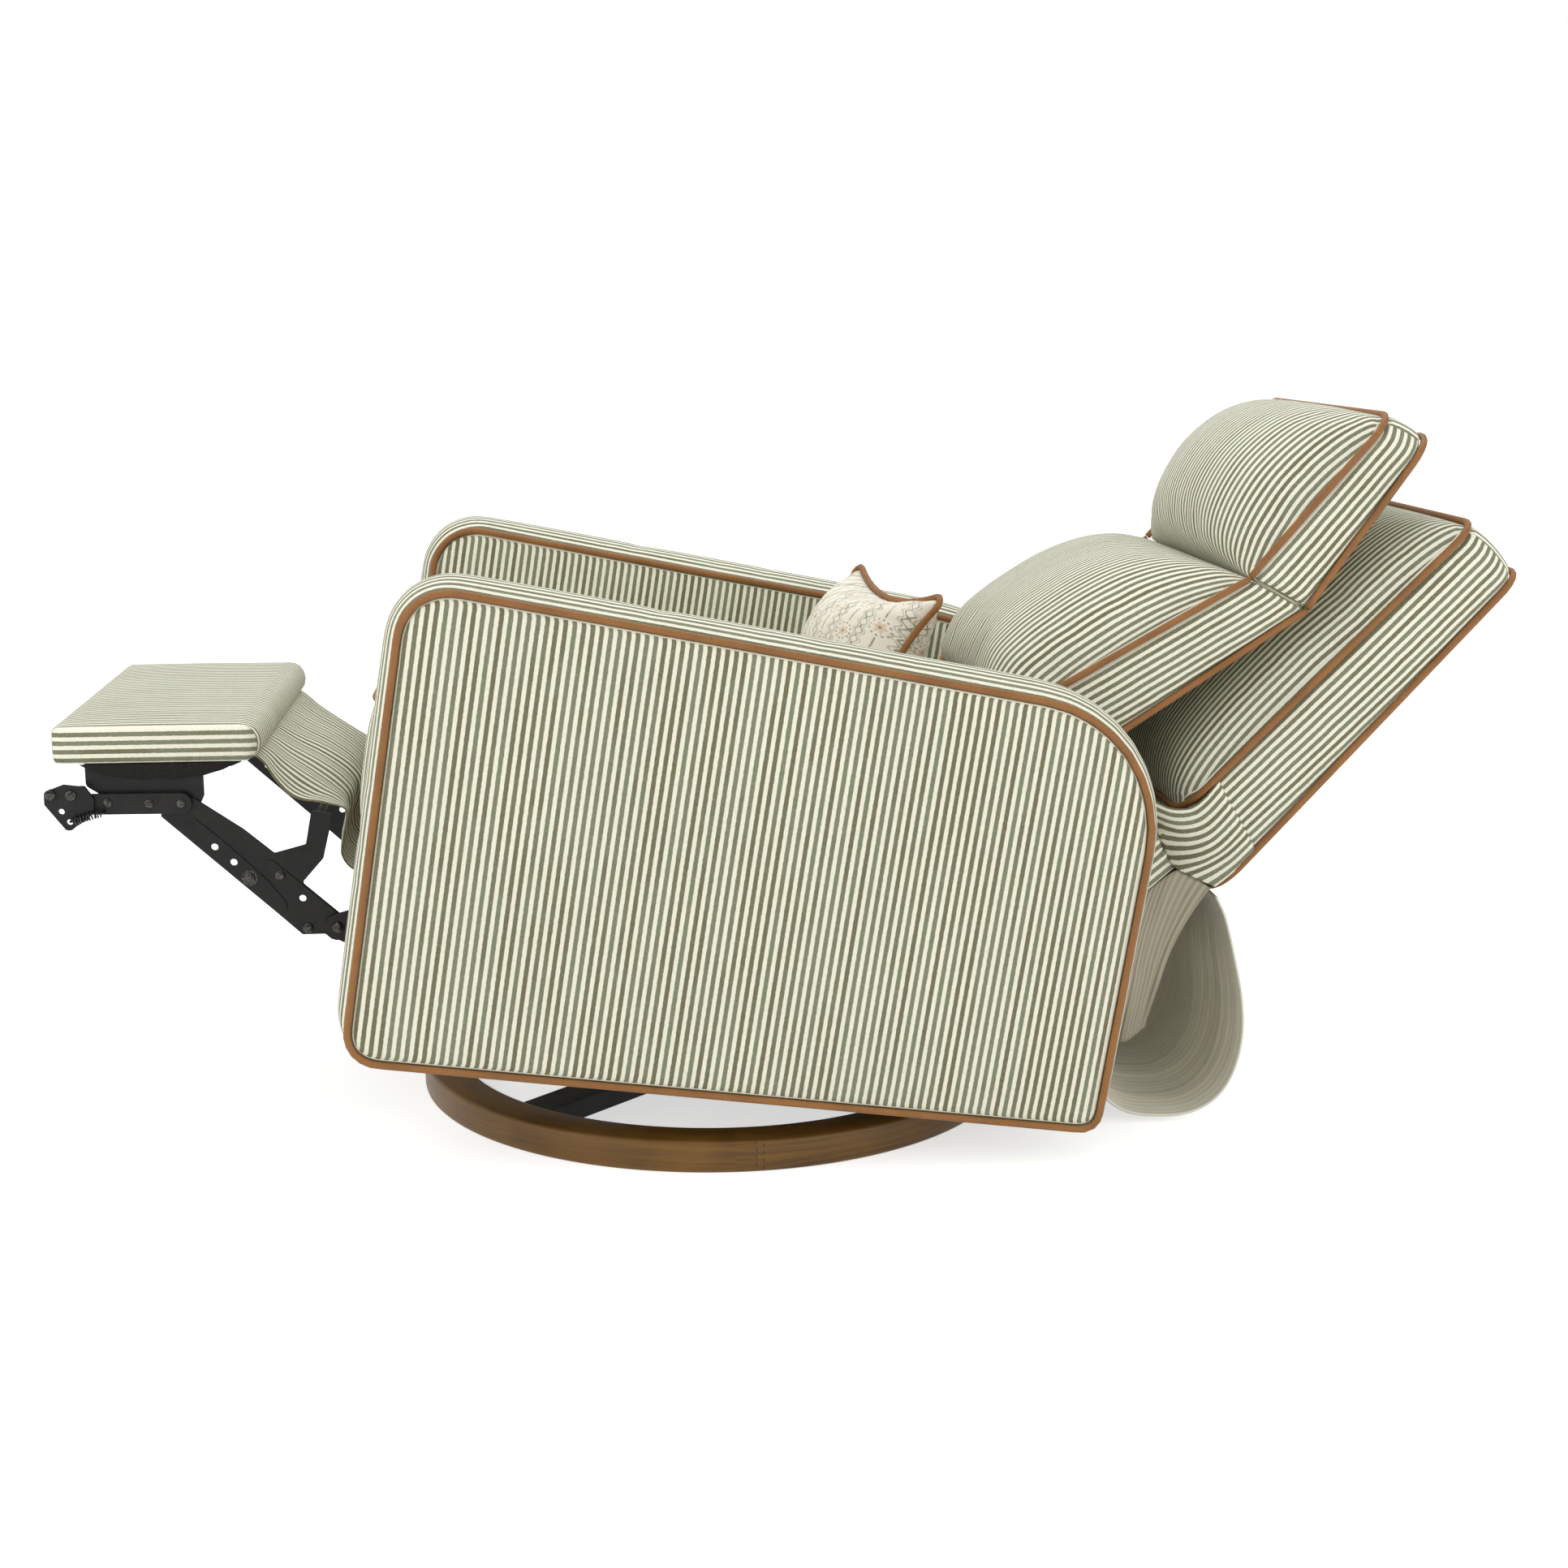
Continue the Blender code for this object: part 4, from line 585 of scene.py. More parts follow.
def curve_through(points, steps):
    """A smooth run through points."""
    points = [Vector(point) for point in points]
    padded = [points[0] * 2 - points[1]] + points + [points[-1] * 2 - points[-2]]
    made = []
    for k in range(1, len(padded) - 2):
        p0, p1, p2, p3 = padded[k - 1:k + 3]
        for s in range(steps):
            t = s / steps
            made.append(0.5 * (2 * p1 + (p2 - p0) * t + (2 * p0 - 5 * p1 + 4 * p2 - p3) * t * t
                               + (3 * p1 - p0 - 3 * p2 + p3) * t * t * t))
    return made + [points[-1]]


def spaced(points, steps, count):
    """A smooth run through points, cut into even steps."""
    curve = curve_through(points, steps)
    return along(curve, count) + [curve[-1]]


def square_to(route, j):
    """The direction square to a run in its plane."""
    ahead = (route[min(j + 1, len(route) - 1)] - route[max(j - 1, 0)]).normalized()
    return Vector((ahead.y, -ahead.x))


def cloth_rows(name, rows, coordinate, thick, material):
    """A sheet over rows of points with both faces and a closed edge."""
    count, width = len(rows), len(rows[0])
    verts = [point for row in rows for point in row]
    normals = []
    for j in range(count):
        for i in range(width):
            down = rows[min(j + 1, count - 1)][i] - rows[max(j - 1, 0)][i]
            side = rows[j][min(i + 1, width - 1)] - rows[j][max(i - 1, 0)]
            normals.append(side.cross(down).normalized())
    front = [vert + normal * thick / 2 for vert, normal in zip(verts, normals)]
    rear = [vert - normal * thick / 2 for vert, normal in zip(verts, normals)]
    total = len(verts)
    faces, corners = [], []
    for j in range(count - 1):
        for i in range(width - 1):
            a = j * width + i
            quad = (a, a + width, a + width + 1, a + 1)
            faces += [quad, tuple(k + total for k in quad[::-1])]
            corners += [coordinate(k // width, k % width) for k in quad + quad[::-1]]
    edge = rim_index((width - 1, count - 1))
    for k, here in enumerate(edge):
        after = edge[(k + 1) % len(edge)]
        faces.append((here, after, after + total, here + total))
        corners += [coordinate(n // width, n % width) for n in (here, after, after, here)]
    return finish_mesh(name, front + rear, faces, corners, material)


STRIPED_THICK, LOOSE_THICK, HEM_RADIUS = 0.0018, 0.0014, 0.0016


def spread(count, columns, spot):
    """Rows of a sheet: spot(j, s) for each row j, with s from -1 to 1 across it."""
    return [[spot(j, 2 * i / columns - 1) for i in range(columns + 1)] for j in range(count)]


def hung(name, rows, half, lengths, thick, material):
    """A sheet whose cloth coordinates run across from its middle and down its run."""
    columns = len(rows[0]) - 1
    return cloth_rows(name, rows, lambda j, i: (half * (2 * i / columns - 1), lengths[j]), thick, material)


def across_hinge(piece, spots):
    """Bake the placing of a cloth piece into its mesh, where it stays; it follows neither the seat nor the
    back.
    """
    [SEAT_FRAME @ Vector(spot) for spot in spots]
    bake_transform(piece)


def dome(name, centre, axis, radius, height, material, rings=3, sides=14, base=0.3):
    """A turned rivet or cap: a short drum with a domed end."""
    axis = Vector(axis).normalized()
    up = axis.orthogonal().normalized()
    side = axis.cross(up)
    profile = [(radius, 0.0), (radius, height * base)]
    for k in range(1, rings + 1):
        angle = pi / 2 * k / (rings + 1)
        profile.append((radius * cos(angle), height * (base + (1 - base) * sin(angle))))
    verts = []
    for size, lift in profile:
        verts += [centre + axis * lift + (up * x + side * y) * size for x, y in circle(sides)]
    verts.append(centre + axis * height)
    faces = bands(len(profile), sides)
    last = (len(profile) - 1) * sides
    faces += [(last + m, last + (m + 1) % sides, len(verts) - 1) for m in range(sides)]
    faces.append(tuple(range(sides))[::-1])
    corners = [(verts[k] - centre).to_2d() for face in faces for k in face]
    return finish_mesh(name, verts, faces, corners, material)


def swell(u, v, middle, half, powers, roots=(0.5, 0.5)):
    across = min(1.0, abs(u - middle[0]) / half[0])
    up = min(1.0, abs(v - middle[1]) / half[1])
    return (1 - across ** powers[0]) ** roots[0] * (1 - up ** powers[1]) ** roots[1]


def flat(u, v):
    return 0.0


def uneven(x, y, seed):
    return noise.noise(Vector((x, y, seed)))


def ripple(x, y, seed, size=1.0):
    """A soft uneven relief in two sizes."""
    return uneven(x * 9 * size, y * 9 * size, seed) + 0.5 * uneven(x * 23 * size, y * 23 * size, seed + 5.0)


def fading(distance, reach):
    """1 at no distance, and less and less further off."""
    return 2.718 ** (-distance / reach)


def peak(x, top, reach):
    """1 at the top, falling evenly to 0 at its reach on both sides."""
    return max(0.0, 1 - abs(x - top) / reach)


SIMULATED = []


def pad(piece, body, fill, slot, node, *blow):
    """A padded piece; with blow, its pressure, its cap and its slack, it is blown up with the others."""
    dress(piece, body, node)
    if blow:
        SIMULATED.append((piece, *blow))


def welt(name, points, body, node, closed=True):
    dress(tube(name, points, PIPING_RADIUS, LEATHER, closed), body, node)


def welts(piece, node, seam, place, thick, body, closed=False):
    """Piping along the front seam and the rear seam of a cushion."""
    for end, share in (("front", 1.0), ("rear", 0.0)):
        points = [place(u, v, thick(v) * share) for u, v in seam]
        welt(piece + "_welt_" + end, points, body, node + "_piping_" + end, closed)


def side_or_top(spot, s, d, run, level):
    return (d, spot.y) if abs(run.y) > abs(run.x) else (spot.x, d)


def cushion(name, rim, counts, place, thick, face, rear, inset, bow, body, fill, node, blow,
            boxing=side_or_top):
    """A cushion whose boxing bows out by bow between the seams of its face and its rear."""
    rows = [(0.0, lambda v: thick(v) - inset)]
    for share in (0.86, 0.7, 0.5, 0.3, 0.14):
        rows.append((bow * (1 - (2 * share - 1) ** 2), lambda v, share=share: thick(v) * share))
    rows.append((0.0, lambda v: SEAM_INSET))
    piece = boxed(name, rim, counts, place, rows, ((-inset, face), (-SEAM_INSET, rear)), boxing, FABRIC)
    pad(piece, body, fill, "striped_fabric", node, *blow)


ARM_X = (0.29, 0.385)
ARM_FRONT, ARM_REAR = -0.441, 0.388
ARM_COUNTS = (76, 50)
ARM_RADII = (0.034, 0.02, 0.15, 0.055)
ARM_CROWN = 0.015
# Share of the arm's width, share of the crown and shift of each row of its boxing
ARM_ROWS = ((0.0, 0.0, -SEAM_INSET), (0.1, 0.45, 0.0), (0.25, 0.8, 0.0), (0.4, 0.97, 0.0), (0.5, 1.0, 0.0),
            (0.6, 0.97, 0.0), (0.75, 0.8, 0.0), (0.9, 0.45, 0.0), (1.0, 0.0, SEAM_INSET))


def arm_rim(offset):
    under = min(offset, 0.0)
    corners = ((ARM_FRONT - offset, 0.082 - under), (ARM_REAR + offset, 0.106 - under),
               (ARM_REAR + offset, 0.569 + offset), (ARM_FRONT - offset, 0.601 + offset))
    return loop(corners, [radius + offset for radius in ARM_RADII], ARM_COUNTS)


def arms():
    width = ARM_X[1] - ARM_X[0]
    middle, half = ((ARM_FRONT + ARM_REAR) / 2, 0.34), (0.408, 0.252)
    rows = [(ARM_CROWN * height, lambda v, reach=width * (1 - share) + shift: reach)
            for share, height, shift in ARM_ROWS]
    panels = ((-SEAM_INSET, lambda u, v: width + 0.0022 * swell(u, v, middle, half, (6, 6))),
              (-SEAM_INSET, lambda u, v: -0.0008 * swell(u, v, middle, half, (6, 6))))
    for side, hand in SIDES:
        def place(u, v, forward):
            return SEAT_FRAME @ Vector((side * (ARM_X[0] + forward), u, v))

        piece = boxed("arm_pad_" + hand, arm_rim, ARM_COUNTS, place, rows, panels,
                      lambda spot, s, d, run, level: (d, s), FABRIC, False)
        if side < 0:
            piece.data.flip_normals()
        pad(piece, "seat", 0.85, "striped_fabric", "arm_" + hand, 3.0, 0.0022, 0.004)
        for name, x in zip(("inner", "outer"), ARM_X):
            points = [SEAT_FRAME @ Vector((side * x, y, z)) for y, z in arm_rim(0.0)]
            welt("arm_welt_%s_%s" % (name, hand), points, "seat", "arm_piping_%s_%s" % (name, hand))


def seat_cushion():
    springs, gap, wire, top = 0.305, 0.0003, 0.0017, 0.455
    bottom = springs + 2 * gap + 2 * wire
    low, high = -0.463, 0.125
    counts = (54, 56)
    rim = rounded(0.281, low, high, (0.04,) * 4, counts)
    middle, half = (0.0, (low + high) / 2), (0.2745, (high - low) / 2 - SEAM_INSET)

    def place(u, v, forward):
        return SEAT_FRAME @ Vector((u, v, bottom + forward))

    def thick(v):
        return top - bottom

    def face(u, v):
        return thick(v) + 0.022 * swell(u, v, middle, half, (4, 4)) + 0.0012 * ripple(u, v, 1.0)

    def boxing(spot, s, d, run, level):
        return (d, s) if abs(run.y) > abs(run.x) else (spot.x, d)

    cushion("seat_cushion_pad", rim, counts, place, thick, face, flat, inset=SEAM_INSET, bow=0.0018,
            body="seat", fill=0.75, node="seat_cushion", blow=(4.0, 0.007, 0.012), boxing=boxing)
    points = [SEAT_FRAME @ Vector((u, v, top)) for u, v in rim(0.0)]
    welt("seat_cushion_welt", points, "seat", "seat_cushion_piping")


BACK_LOW, BACK_HIGH = 0.1, 0.6
SHELL_SIDE = 0.067
SHELL_RISE = 0.037


def shell_rear(v):
    return 0.013 + 0.018 * (BACK_HIGH - v) / (BACK_HIGH - BACK_LOW)


def shell_thick(v):
    return shell_rear(v) + SHELL_SIDE


def shell_place(u, v, forward):
    rise = SHELL_RISE * max(0.0, forward) / shell_thick(BACK_LOW) * (BACK_HIGH - v) / (BACK_HIGH - BACK_LOW)
    return BACK_FRAME @ Vector((u, shell_rear(v) - forward, v + min(rise, SHELL_RISE)))


def back_shell():
    counts = (48, 50)
    rim = rounded(0.248, BACK_LOW, BACK_HIGH, (0.04, 0.04, 0.03, 0.03), counts)
    middle, half = (0.0, (BACK_LOW + BACK_HIGH) / 2), (0.24, (BACK_HIGH - BACK_LOW) / 2 - SEAM_INSET)
    depth, gap, pressed = 0.13, 0.0005, 0.0012
    crown = depth - SHELL_SIDE - PIPING_RADIUS - gap + pressed

    def face(u, v):
        back_off = min(1.0, max(0.0, (v - 0.345) / 0.075))
        return shell_thick(v) + crown * swell(u, v, middle, half, (4, 4)) * (1 - 0.12 * back_off)

    def rear(u, v):
        return -0.008 * swell(u, v, middle, half, (4, 4)) - 0.001 * ripple(u, v, 3.0)

    cushion("back_shell_pad", rim, counts, shell_place, shell_thick, face, rear, inset=SLANT_INSET, bow=0.005,
            body="back", fill=0.8, node="back_shell", blow=(2.0, 0.0025, 0.006))
    welts("back_shell", "back", rim(0.0), shell_place, shell_thick, "back", True)


CUSHION_HALF = 0.233
CUSHION_LOW = 0.07
CUSHION_HIGH = HEAD[1] - 0.00015
HEAD_LOW, HEAD_HIGH = 0.00015, 0.232
# At the crease between the two cushions: the share of the rim's offset there, and the corners' radius
CREASE_SHARE = 0.15
CREASE_RADIUS = 0.003


def crease_radius(offset):
    return CREASE_RADIUS + max(-0.0015, offset)


def tucked(u, v, forward, crease, seed):
    """The sides draw in at the crease, with short pleats across it."""
    if abs(u) < CUSHION_HALF - 0.001:
        return u
    near = peak(v, crease, 0.07)
    pleat = uneven(v * 75, forward * 22, seed + copysign(1.0, u)) * 0.0032
    return u + copysign(pleat * near ** 1.5 - 0.0035 * near ** 5, u)


def gather(u, v, edge, seed):
    """Small pleats that run out of the crease."""
    near = peak(v, edge, 0.055)
    return 0.003 * near * near * (uneven(u * 62, v * 4, seed) + 0.6 * uneven(u * 130, v * 7, seed))


def back_cushion():
    low, high, counts = CUSHION_LOW, CUSHION_HIGH, (46, 34)
    middle, size = (0.0, (low + high) / 2), (CUSHION_HALF - SLANT_INSET, (high - low) / 2 - 0.001)

    def rim(offset):
        corners = rectangle(CUSHION_HALF + offset, low - offset, high + min(offset, 0.0) * CREASE_SHARE)
        return loop(corners, [0.03 + offset] * 2 + [crease_radius(offset)] * 2, counts)

    def share(v):
        return (v - low) / (HEAD[1] - low)

    def thick(v):
        return 0.091 - 0.017 * share(v)

    def place(u, v, forward):
        u = tucked(u, v, forward, HEAD[1], 3.0)
        y = HEAD[0] - 0.21 * (HEAD[1] - v) - forward
        return BACK_FRAME @ Vector((u, y, v - 0.3 * forward * share(v)))

    def face(u, v):
        crown = 0.0835 * swell(u, v, middle, size, (3.9, 2.5), (0.58, 0.4))
        crown *= 1 + 0.13 * (v - middle[1]) / size[1]
        crown *= 1 - 0.16 * max(0.0, 1 - (v - low) / 0.06)
        return thick(v) + crown + gather(u, v, high, 2.0) + 0.0012 * ripple(u, v, 7.0)

    cushion("back_cushion_pad", rim, counts, place, thick, face, flat, inset=SLANT_INSET, bow=0.003,
            body="back", fill=0.8, node="back_cushion", blow=(4.0, 0.006, 0.012))
    seam = rim(0.0)
    wide, tall = counts
    shown = seam[2 * wide + tall:] + seam[:wide + tall + 1]
    welts("back_cushion", "back_cushion", shown, place, thick, "back")


def headrest():
    counts = (46, 24)
    middle, size = (0.0, HEAD_HIGH / 2), (CUSHION_HALF - SEAM_INSET, HEAD_HIGH / 2 - SEAM_INSET / 2)

    def rim(offset):
        base = HEAD_LOW - min(offset, 0.0) * CREASE_SHARE
        corners = rectangle(CUSHION_HALF + offset, base, HEAD_HIGH + offset)
        return loop(corners, [crease_radius(offset)] * 2 + [0.035 + offset] * 2, counts)

    def thick(v):
        return 0.074 - 0.024 * v / HEAD_HIGH

    def place(u, v, forward):
        u = tucked(u, v, forward, 0.0, 6.0)
        return HEAD_FRAME @ Vector((u, -0.0012 - 0.17 * v - forward, v - 0.3 * forward))

    def face(u, v):
        crown = 0.083 * swell(u, v, middle, size, (2.9, 1.83), (0.79, 0.44))
        crown *= 1 + 0.06 * (v - middle[1]) / size[1]
        return thick(v) + crown + gather(u, v, 0.0, 4.0) + 0.0012 * ripple(u, v, 9.0)

    cushion("headrest_pad", rim, counts, place, thick, face, flat, inset=SEAM_INSET, bow=0.003,
            body="headrest", fill=0.8, node="headrest_cushion", blow=(4.0, 0.006, 0.012))
    seam = rim(0.0)
    welts("headrest", "headrest", seam[counts[0]:] + seam[:1], place, thick, "headrest")


# Offset and height of each row of the footrest's side, down to its open underside
FOOT_THICK = 0.04
FOOT_ROWS = ((-0.0025, FOOT_THICK - 0.0012), (-0.0004, FOOT_THICK - 0.0045), (0.0, FOOT_THICK * 0.72),
             (0.0, FOOT_THICK * 0.5), (0.0, FOOT_THICK * 0.28), (-0.0006, 0.005), (-0.003, 0.0012),
             (-0.007, 0.0), (-0.0195, 0.0003), (-0.0199, 0.012))
FOOT_RECESS = (-0.0199, 0.0128)


def footrest():
    half, length, thick = 0.236, 0.226, FOOT_THICK
    counts = (44, 24)
    middle, size = (0.0, -length / 2), (half - 0.006, length / 2 - 0.006)

    def rim(offset):
        corners = rectangle(half + offset, -length - offset, offset)
        return loop(corners, [max(0.004, 0.01 + offset)] * 4, counts)

    def place(u, v, forward):
        """The rear end is a bullnose: its rows draw in further than the others."""
        w = min(max(forward, 0.0), thick)
        end = max(0.0, 1 + v / 0.018)
        nose = 0.017 * (1 - sqrt(max(0.0, 1 - ((w - thick / 2) / (thick / 2)) ** 2)))
        return FOOT_FRAME @ Vector((u, v - nose * min(1.0, end) ** 0.5 * 0.9 + FOOT_PIVOT_BACK,
                                    forward + FOOT_PIVOT_DROP))

    def face(u, v):
        return thick + 0.0032 * swell(u, v, middle, size, (8, 2)) + 0.0002 * ripple(u, v, 11.0)

    def boxing(spot, s, d, run, level):
        return (level, spot.y) if abs(run.y) > abs(run.x) else (spot.x, d)

    rows = [(offset, lambda v, height=height: height) for offset, height in FOOT_ROWS]
    panels = ((-0.006, face), (FOOT_RECESS[0], lambda u, v: FOOT_RECESS[1]))
    piece = boxed("footrest_cover", rim, counts, place, rows, panels, boxing, FABRIC, False)
    pad(piece, "footrest", 0.8, "striped_fabric", "footrest_pad")


# The run of the loose cover behind the seat, in shares of its depth, and its waist
DRAPE_ROUTE = ((0.000, 0.000), (0.06, -0.09), (0.135, -0.26), (0.2, -0.43), (0.235, -0.6),
               (0.225, -0.76), (0.17, -0.88), (0.07, -0.955), (-0.06, -0.985), (-0.2, -0.985),
               (-0.31, -0.93), (-0.4, -0.8), (-0.455, -0.64), (-0.478, -0.5), (-0.492, -0.37))
DRAPE_DEPTH, DRAPE_HALF = 0.275, 0.247
DRAPE_WAIST = Vector((-0.045 * DRAPE_DEPTH, -0.52 * DRAPE_DEPTH))
DRAPE_TOP = (0.516, 0.3589)
DRAPE_BLEND = ((0.0, 0.49, 0.27), (0.0, 0.516, 0.352))


def drape():
    """The loose cover behind the seat: a deep loop, slightly drawn in at its middle."""
    columns = 84
    route = curve_through([(y * DRAPE_DEPTH, z * DRAPE_DEPTH) for y, z in DRAPE_ROUTE], 5)
    lengths = running(route)
    waist = DRAPE_WAIST

    def spot(j, s):
        share = lengths[j] / lengths[-1]
        near = abs(s)
        held = min(1.0, share / 0.2) * min(1.0, (1 - share) / 0.14)
        held = held * held * (3 - 2 * held)
        fold = (0.0045 * uneven(s * 9, share * 1.6, 3.0) + 0.0028 * uneven(s * 21, share * 2.4, 8.0)
                - 0.0055 * peak(near, 0.62, 0.12) ** 2 + 0.004 * peak(near, 0.4, 0.12) ** 2)
        drawn = route[j] + square_to(route, j) * fold * held * min(1.0, (1 - near) / 0.08 + 0.15)
        slim = 1 - (1 - (0.74 + 0.26 * near ** 1.8)) * held
        short = 1 - 0.1 * (1 - near ** 1.8) * held
        drawn = Vector((waist.x + (drawn.x - waist.x) * slim, waist.y + (drawn.y - waist.y) * short))
        return SEAT_FRAME @ Vector((DRAPE_HALF * s, DRAPE_TOP[0] + drawn.x, DRAPE_TOP[1] + drawn.y))

    rows = spread(len(route), columns, spot)
    # The cover's inside is painted pale: painted light for the light through the thin cloth.
    piece = hung("rear_cover", rows, DRAPE_HALF, lengths, LOOSE_THICK, REVERSE_PAINTED_LIGHT)
    hems = [tube("rear_cover_hem_" + side, [row[i] for row in rows], HEM_RADIUS, HEM, False, 8)
            for side, i in (("right", 0), ("left", columns))]
    for item in [piece] + hems:
        across_hinge(item, DRAPE_BLEND)
    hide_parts("rear_drape")


# The flap's run from the footrest over the cross bar and down, in the middle and at its edges
FLAP_MIDDLE = ((-0.016, 0.004), (0.001, -0.006), (0.02, -0.018), (0.05, -0.034), (0.077, -0.054),
               (0.0875, -0.072), (0.083, -0.092), (0.078, -0.112), (0.082, -0.131), (0.097, -0.139),
               (0.124, -0.13))
FLAP_EDGE = ((-0.014, -0.002), (-0.001, -0.014), (0.009, -0.031), (0.023, -0.049), (0.038, -0.0575),
             (0.062, -0.061), (0.085, -0.069), (0.082, -0.098), (0.08, -0.122), (0.096, -0.139),
             (0.124, -0.13))
FLAP_HALF = 0.215
FLAP_START = (FOOT_REAR_Y + 0.0015, FOOT_UNDER_Z + 0.008)


def flap():
    """The striped cloth between the seat's front and the footrest, which lies lower at its edges."""
    columns = 72
    middle, edge = curve_through(FLAP_MIDDLE, 7), curve_through(FLAP_EDGE, 7)

    def spot(j, s):
        share = j / (len(middle) - 1)
        amount = sin(pi * share) ** 0.7
        place = middle[j].lerp(edge[j], abs(s) ** 2.2 * (1.0 if s > 0 else 0.45))
        fold = 0.0022 * sin(pi * 7 * s + 1.0 + share) + 0.0036 * uneven(s * 4.0, share * 2.0, 21.0)
        place = place + square_to(middle, j) * fold * amount
        return SEAT_FRAME @ Vector((FLAP_HALF * s * (1 - 0.012 * amount),
                                    *to_seat(FLAP_START[0] + place.x, FLAP_START[1] + place.y)))

    rows = spread(len(middle), columns, spot)
    lengths = running([row[columns // 3] for row in rows])
    piece = hung("footrest_skirt", rows, FLAP_HALF, lengths, STRIPED_THICK, FABRIC)
    dress(piece, "seat", "footrest_flap")
    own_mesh(piece)


# The cloth at the side of the hinge, in the back's frame: its upper edge, rear, gathered end and front
SKIRT_TOP = ((-0.064, 0.193), (-0.033, 0.183), (0.0000, 0.175), (0.0275, 0.168))
SKIRT_REAR = ((0.0275, 0.168), (0.028, 0.145), (0.0275, 0.123), (0.0262, 0.105))
SKIRT_END = ((-0.118, 0.1215), (-0.104, 0.1136), (-0.0887, 0.1088), (-0.0732, 0.104), (-0.0551, 0.0968),
             (-0.0383, 0.0907), (-0.0228, 0.088), (-0.0125, 0.0915), (0.0031, 0.0965), (0.0262, 0.105))
SKIRT_FRONT = ((-0.064, 0.193), (-0.063, 0.164), (-0.067, 0.148), (-0.08, 0.134), (-0.095, 0.127),
               (-0.118, 0.1215))
SKIRT_X, GUSSET_X, VALANCE_X = 0.2475, 0.2395, 0.2436
# The gusset's rear edge in the seat's frame: its y, its upper end and how far it goes down; where its stripes
# are counted from, and their slant
GUSSET_REAR = (0.372, 0.458, 0.166)
GUSSET_ORIGIN = (0.4623, 0.3818)
GUSSET_SLANT = (0.709, 0.705)
GATHER_ALLOWANCE = 1.12
HINGE_CLOTH_BLEND = ((0.0, 0.4, 0.4), (0.0, 0.5, 0.43))


def back_to_seat(y, z):
    spot = moved(*RECLINE) @ pitched(-BACK_LEAN) @ Vector((0.0, y, z))
    return Vector((spot.y, spot.z))


def hinge_cloth(name, rows, coordinate, side, material):
    """A gathered sheet at one side, baked where it lies between the seat and the back."""
    if side < 0:
        rows = [row[::-1] for row in rows]
    width = len(rows[0]) - 1
    piece = cloth_rows(name, [[SEAT_FRAME @ spot for spot in row] for row in rows],
                       lambda j, i: coordinate(j, i if side > 0 else width - i), LOOSE_THICK, material)
    across_hinge(piece, HINGE_CLOTH_BLEND)
    across = GATHER_ALLOWANCE * max(running(row)[-1] for row in rows)
    down = GATHER_ALLOWANCE * max(running(column)[-1] for column in zip(*rows))


def boxing_depth(y):
    """How far over the shell's boxing a place lies from the front seam, where its stripes start."""
    edge = SLANT_INSET - SHELL_SIDE
    return 0.01235 + (y - edge) * (1.067 if y > edge else 1.453)


def drawn_up(s):
    """1 where the skirt is sewn to the gathers, 0 towards its rear."""
    return max(0.0, min(1.0, (0.7 - s) / 0.1))


def side_skirts():
    """The boxing runs on past the hinge and is drawn up on one line, where the seat's own cloth meets it."""
    wide, high, deep = 40, 36, 24
    edges = [curve_through(line, 10) for line in (SKIRT_TOP, SKIRT_REAR, SKIRT_END[::-1], SKIRT_FRONT[::-1])]
    ring = [spot for line, count in zip(edges, (wide, high, wide, high)) for spot in along(line, count)]
    grid = patch(ring, (wide, high))
    stripe_at = [boxing_depth(spot.x) for spot in grid[0]]
    gathers = spaced(SKIRT_END[:7], 8, wide)
    for side, hand in SIDES:
        def skirt(spot, s, t):
            sewn = drawn_up(s)
            fullness = 1 - (2 * s - 1) ** 2
            x = SKIRT_X + 0.0072 * fullness * (1 - t) + 0.0022 * min(1.0, t / 0.06)
            x += 0.0045 * sin(pi * t) * sewn - (0.01 * sewn + 0.0035 * (1 - sewn)) * t ** 4
            x += fading(1 - t, 0.13) * sewn * 0.0085 * uneven(s * 38, t * 1.2, 40.0 + side)
            x += 0.001 * uneven(s * 7, t * 3, 44.0) * min(1.0, t / 0.2)
            return Vector((side * x, *back_to_seat(*spot)))

        def puckered(j, i):
            near = fading(1 - j / high, 0.09) * drawn_up(i / wide)
            return (stripe_at[i] + 0.0045 * near * uneven(i * 0.8, j * 0.3, 50.0 + side), 0.166 - lengths[j])

        def gusset(spot, s, t):
            x = GUSSET_X + 0.0065 * min(1.0, t / 0.3)
            x += fading(t, 0.1) * 0.007 * uneven(s * 34, t, 60.0 + side)
            x += 0.001 * uneven(s * 6, t * 3, 64.0)
            rear = Vector((GUSSET_REAR[0], GUSSET_REAR[1] - GUSSET_REAR[2] * s))
            return Vector((side * x, *back_to_seat(*spot).lerp(rear, t)))

        def slanting(j, i):
            y, z = rows[j][i].y - GUSSET_ORIGIN[0], rows[j][i].z - GUSSET_ORIGIN[1]
            a, b = GUSSET_SLANT
            return (a * z - b * y, b * z + a * y)

        rows = [[skirt(spot, i / wide, j / high) for i, spot in enumerate(row)] for j, row in enumerate(grid)]
        lengths = running([row[wide // 2] for row in rows])
        hinge_cloth("side_skirt_" + hand, rows, puckered, side, FABRIC)
        rows = [[gusset(spot, i / wide, j / deep) for i, spot in enumerate(gathers)][::-1]
                for j in range(deep + 1)]
        hinge_cloth("hinge_gusset_" + hand, rows, slanting, -side, FABRIC)


# The side of the loose cover: its upper edge along the skirts and its tip, in the seat's frame
VALANCE_TOP = ((0.395, 0.3145), (0.4321, 0.3505), (0.4612, 0.38), (0.4735, 0.3815), (0.488, 0.377),
               (0.509, 0.3665))
VALANCE_TIP = ((0.422, 0.196), (0.433, 0.175), (0.443, 0.164), (0.452, 0.162), (0.462, 0.17),
               (0.474, 0.184))
VALANCE_WIDTH = 0.15


